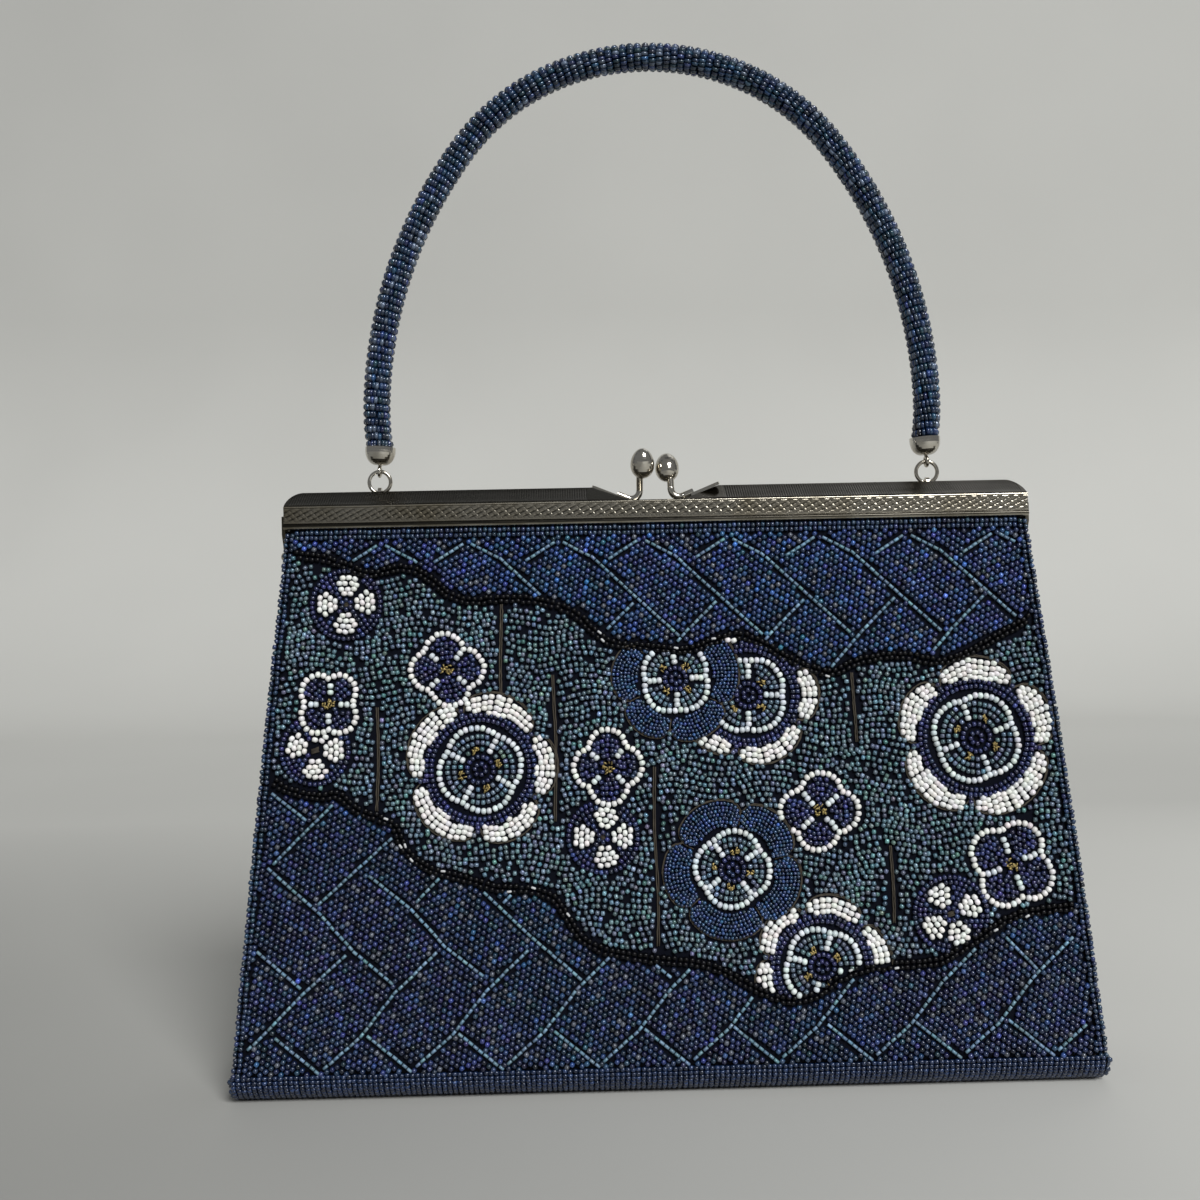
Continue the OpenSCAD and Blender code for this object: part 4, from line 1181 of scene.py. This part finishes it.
def addJaw(label, side, armX):
    # the channel, a cap at either end and the arms, each with a thicker piece where it leaves the channel
    half, step = jaw["half"], engraving["step"]
    x = np.arange(-half, half + step / 2, step)
    x = x * half / x[-1]
    d, z, shade = jawSurface(x)
    points = np.stack([np.broadcast_to(x, d.shape), side * d, z], -1)
    faces = gridFaces(*d.shape, True, False)
    parts = [(points.reshape(-1, 3), [faces if side < 0 else faces[:, ::-1]])]
    for end in (-1, 1):
        ring = points[:-4, 0 if end < 0 else -1]
        k = np.arange(len(ring))
        faces = fan(k, np.roll(k, -1), len(ring))
        capDepth, capHeight = arm["capMiddle"]
        parts.append((np.concatenate([ring, [[end * half, side * capDepth, capHeight]]]),
                      [faces[:, ::-1] if (end > 0) == (side < 0) else faces]))
    near, far = arm["plate"]
    plate = np.array([(near, lip), (far, lip), (far, arm["plateTop"]), (near, arm["plateTop"])]) * (side, 1)
    for end in (-1, 1):
        parts.append(platePart(armOutline(side), end * armX, end * (armX + arm["thick"])))
        parts.append(platePart(plate, end * arm["plateX"], end * (armX + arm["plateThick"])))
    points, faces = joinParts(parts)
    # painted shade: the caps, arms and plates all take 0.3 of the clean tone
    tone = np.full(len(points), 0.3)
    tone[:shade.size] = shade.ravel()
    piece = addMesh(label + "_engraved_jaw", points, faces, plated, np.repeat(tone[:, None], 3, 1))
    piece.data.set_sharp_from_angle(angle=radians(48))
    rides(piece, label + "_jaw", "nickel", label + "_frame")


addJaw("front", -1, 95.1)
addJaw("rear", 1, 94.0)
dress(("hinge_rivets", "front_clasp_stem", "front_clasp_knob", "rear_clasp_stem", "rear_clasp_knob", "left_lug",
       "right_lug", "left_ring", "right_ring", "left_end_cap", "right_end_cap", "left_cap_eye", "right_cap_eye"),
      polished)
print("frame and fittings done")

# handle: rings of beads round a cord, along three arcs
handle = dict(y=3.3, shoulderRadius=143.526, shoulderX=-71.7365, shoulderZ=156.817, crownRadius=55.952, crownZ=207.048,
              lean=3.0, shoulder=35.0, leg=1.45, swell=6.6, ringPitch=1.86, perRing=19, beadWidth=1.98,
              beadLength=1.04, radius=2.62, cordRadius=2.15, cordEnd=2.2)
crownRun = handle["crownRadius"] * radians(90 - handle["shoulder"])
shoulderRun = handle["shoulderRadius"] * radians(handle["shoulder"] - handle["lean"])
total = 2 * (crownRun + shoulderRun + handle["leg"])


def handlePath(s):
    # place and direction at run s from the crown's top: the crown's arc, then the shoulder's, then a straight leg
    side, run = np.where(s < 0, -1.0, 1.0), np.abs(s)
    onCrown, past = run <= crownRun, np.maximum(run - crownRun - shoulderRun, 0)
    a = np.where(onCrown, pi / 2 - np.minimum(run, crownRun) / handle["crownRadius"],
                 radians(handle["shoulder"]) - np.clip(run - crownRun, 0, shoulderRun) / handle["shoulderRadius"])
    radius = np.where(onCrown, handle["crownRadius"], handle["shoulderRadius"])
    x = np.where(onCrown, 0, handle["shoulderX"]) + radius * np.cos(a) + past * np.sin(a)
    z = np.where(onCrown, handle["crownZ"], handle["shoulderZ"]) + radius * np.sin(a) - past * np.cos(a)
    # the rope swells outwards from its caps: most at the shoulders, less at the top
    share = np.clip(run / (total / 2), 0, 1)
    t = np.clip(share / 0.75, 0, 1)
    swell = handle["swell"] * (1 - share) / np.sqrt(1.03 - share) * (0.29 + 0.74 * t * t * (3 - 2 * t))
    x, z = x + swell * np.cos(a), z + swell * np.sin(a)
    place = np.stack([side * x, np.full_like(x, handle["y"]), z], -1)
    return place, np.stack([np.sin(a), 0 * a, -side * np.cos(a)], -1)


rings = int(total / handle["ringPitch"])
s = (np.arange(rings) + 0.5) * total / rings - total / 2
s, a = np.meshgrid(s, turns(handle["perRing"]), indexing="ij")
a = wobble(a + np.arange(rings)[:, None] * 0.11, 0.03)
s = wobble(s + 0.28 * np.sin(a), 0.07)
s = np.clip(s, -total / 2 + 0.6, total / 2 - 0.6)
place, direction = handlePath(s.ravel())
a = a.ravel()
outward = np.cos(a)[:, None] * np.cross(direction, yAxis) + np.sin(a)[:, None] * yAxis
tint = varied("navy", len(a), 0.38) * np.exp(draw.normal(0, 0.15, (len(a), 3)))
tint *= np.array([[1.05, 1.25, 1.05]])
# painted glints: a few rope beads get a paler tone
pale = draw.random(len(a)) < 0.12
tint[pale] = np.array([[0.085, 0.115, 0.17]]) * draw.uniform(0.6, 1.7, (pale.sum(), 1))
piece = addBeads("handle_beads", place + outward * handle["radius"], np.cross(direction, outward), outward,
                 handle["beadLength"], handle["beadWidth"], tint, ropeShape, glassBeads)
rides(piece, "handle", "beads", "handle_rope")
s = np.linspace(-total / 2 - handle["cordEnd"], total / 2 + handle["cordEnd"], 300)
cord = tubeParts(handlePath(s)[0], handle["cordRadius"], 14)
rides(addMesh("handle_cord", *cord, handleThread), "handle", "cord", "handle_core")
print("handle beads:", len(a))

# floor, backdrop and light
studio = dict(floor=(0.485, 0.485, 0.46), reach=3000.0, bend=900.0, wall=1900.0, world=0.2, sun=3.0, sunHeight=42.0,
              sunSide=-25.0, sunAngle=24.0, boxPlace=(380, 500, 1000), boxSize=0.55, boxPower=0.45)
stageFinish = Finish("pale_floor_painted_shade", Roughness=0.8)
place = stageFinish.place()
haze = stageFinish.node("TexNoise", Vector=place, Scale=3.0, Detail=2.0)
floorX, floorY, _ = stageFinish.axes(place)
# painted shade at the left of the purse and painted light at its right, which fades out behind it
near = stageFinish.node("MapRange", Value=floorY, From_Min=-0.12, From_Max=0.40, To_Min=1.0, To_Max=0.03)
paintedShadeRamp = stageFinish.node("MapRange", Value=floorX * near * 3.6 + haze * 0.2, From_Min=-0.5, From_Max=0.7)
dark, light = (tuple(v * share for v in studio["floor"]) + (1,) for share in (0.60, 1.32))
stageFinish.feed(Base_Color=stageFinish.mix(paintedShadeRamp, dark, light))
arc = np.linspace(0, pi / 2, 20)
bendRadius = studio["wall"] * 0.3
y = np.concatenate([[-studio["reach"]], studio["bend"] + bendRadius * np.sin(arc), [studio["bend"] + bendRadius]])
z = np.concatenate([[0], bendRadius * (1 - np.cos(arc)), [studio["wall"]]])
x = np.array([-studio["reach"], studio["reach"]])
points = np.stack([np.repeat(x[None], len(y), 0), np.repeat(y[:, None], 2, 1), np.repeat(z[:, None], 2, 1)], -1)
floor = addMesh("floor", points, [gridFaces(len(y), 2)], stageFinish)
floor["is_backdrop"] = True

world = bpy.data.worlds.new("studio")
world.use_nodes = True
world.node_tree.nodes["Background"].inputs[0].default_value = (0.96, 0.98, 1.0, 1)
world.node_tree.nodes["Background"].inputs[1].default_value = studio["world"]
scene.world = world


def addLamp(label, kind, at, **settings):
    # a lamp that points at the middle of the purse
    data = bpy.data.lights.new(label, kind)
    for key, value in settings.items():
        setattr(data, key, value)
    lamp = bpy.data.objects.new(label, data)
    scene.collection.objects.link(lamp)
    lamp.location = [v * mm for v in at]
    lamp.rotation_euler = Vector(np.array([0, 0, 110.0]) - np.array(at)).to_track_quat("-Z", "Y").to_euler()


rise, swing = radians(studio["sunHeight"]), radians(studio["sunSide"])
sunPlace = 1500 * np.array([-cos(rise) * sin(swing), -cos(rise) * cos(swing), sin(rise)])
addLamp("sun", "SUN", sunPlace, energy=studio["sun"], angle=radians(studio["sunAngle"]))
addLamp("rear_softbox", "AREA", studio["boxPlace"], shape="DISK", size=studio["boxSize"], energy=studio["boxPower"])
print("stage lit")

{"cad": cadBox, "visual": [list(corner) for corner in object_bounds()]}
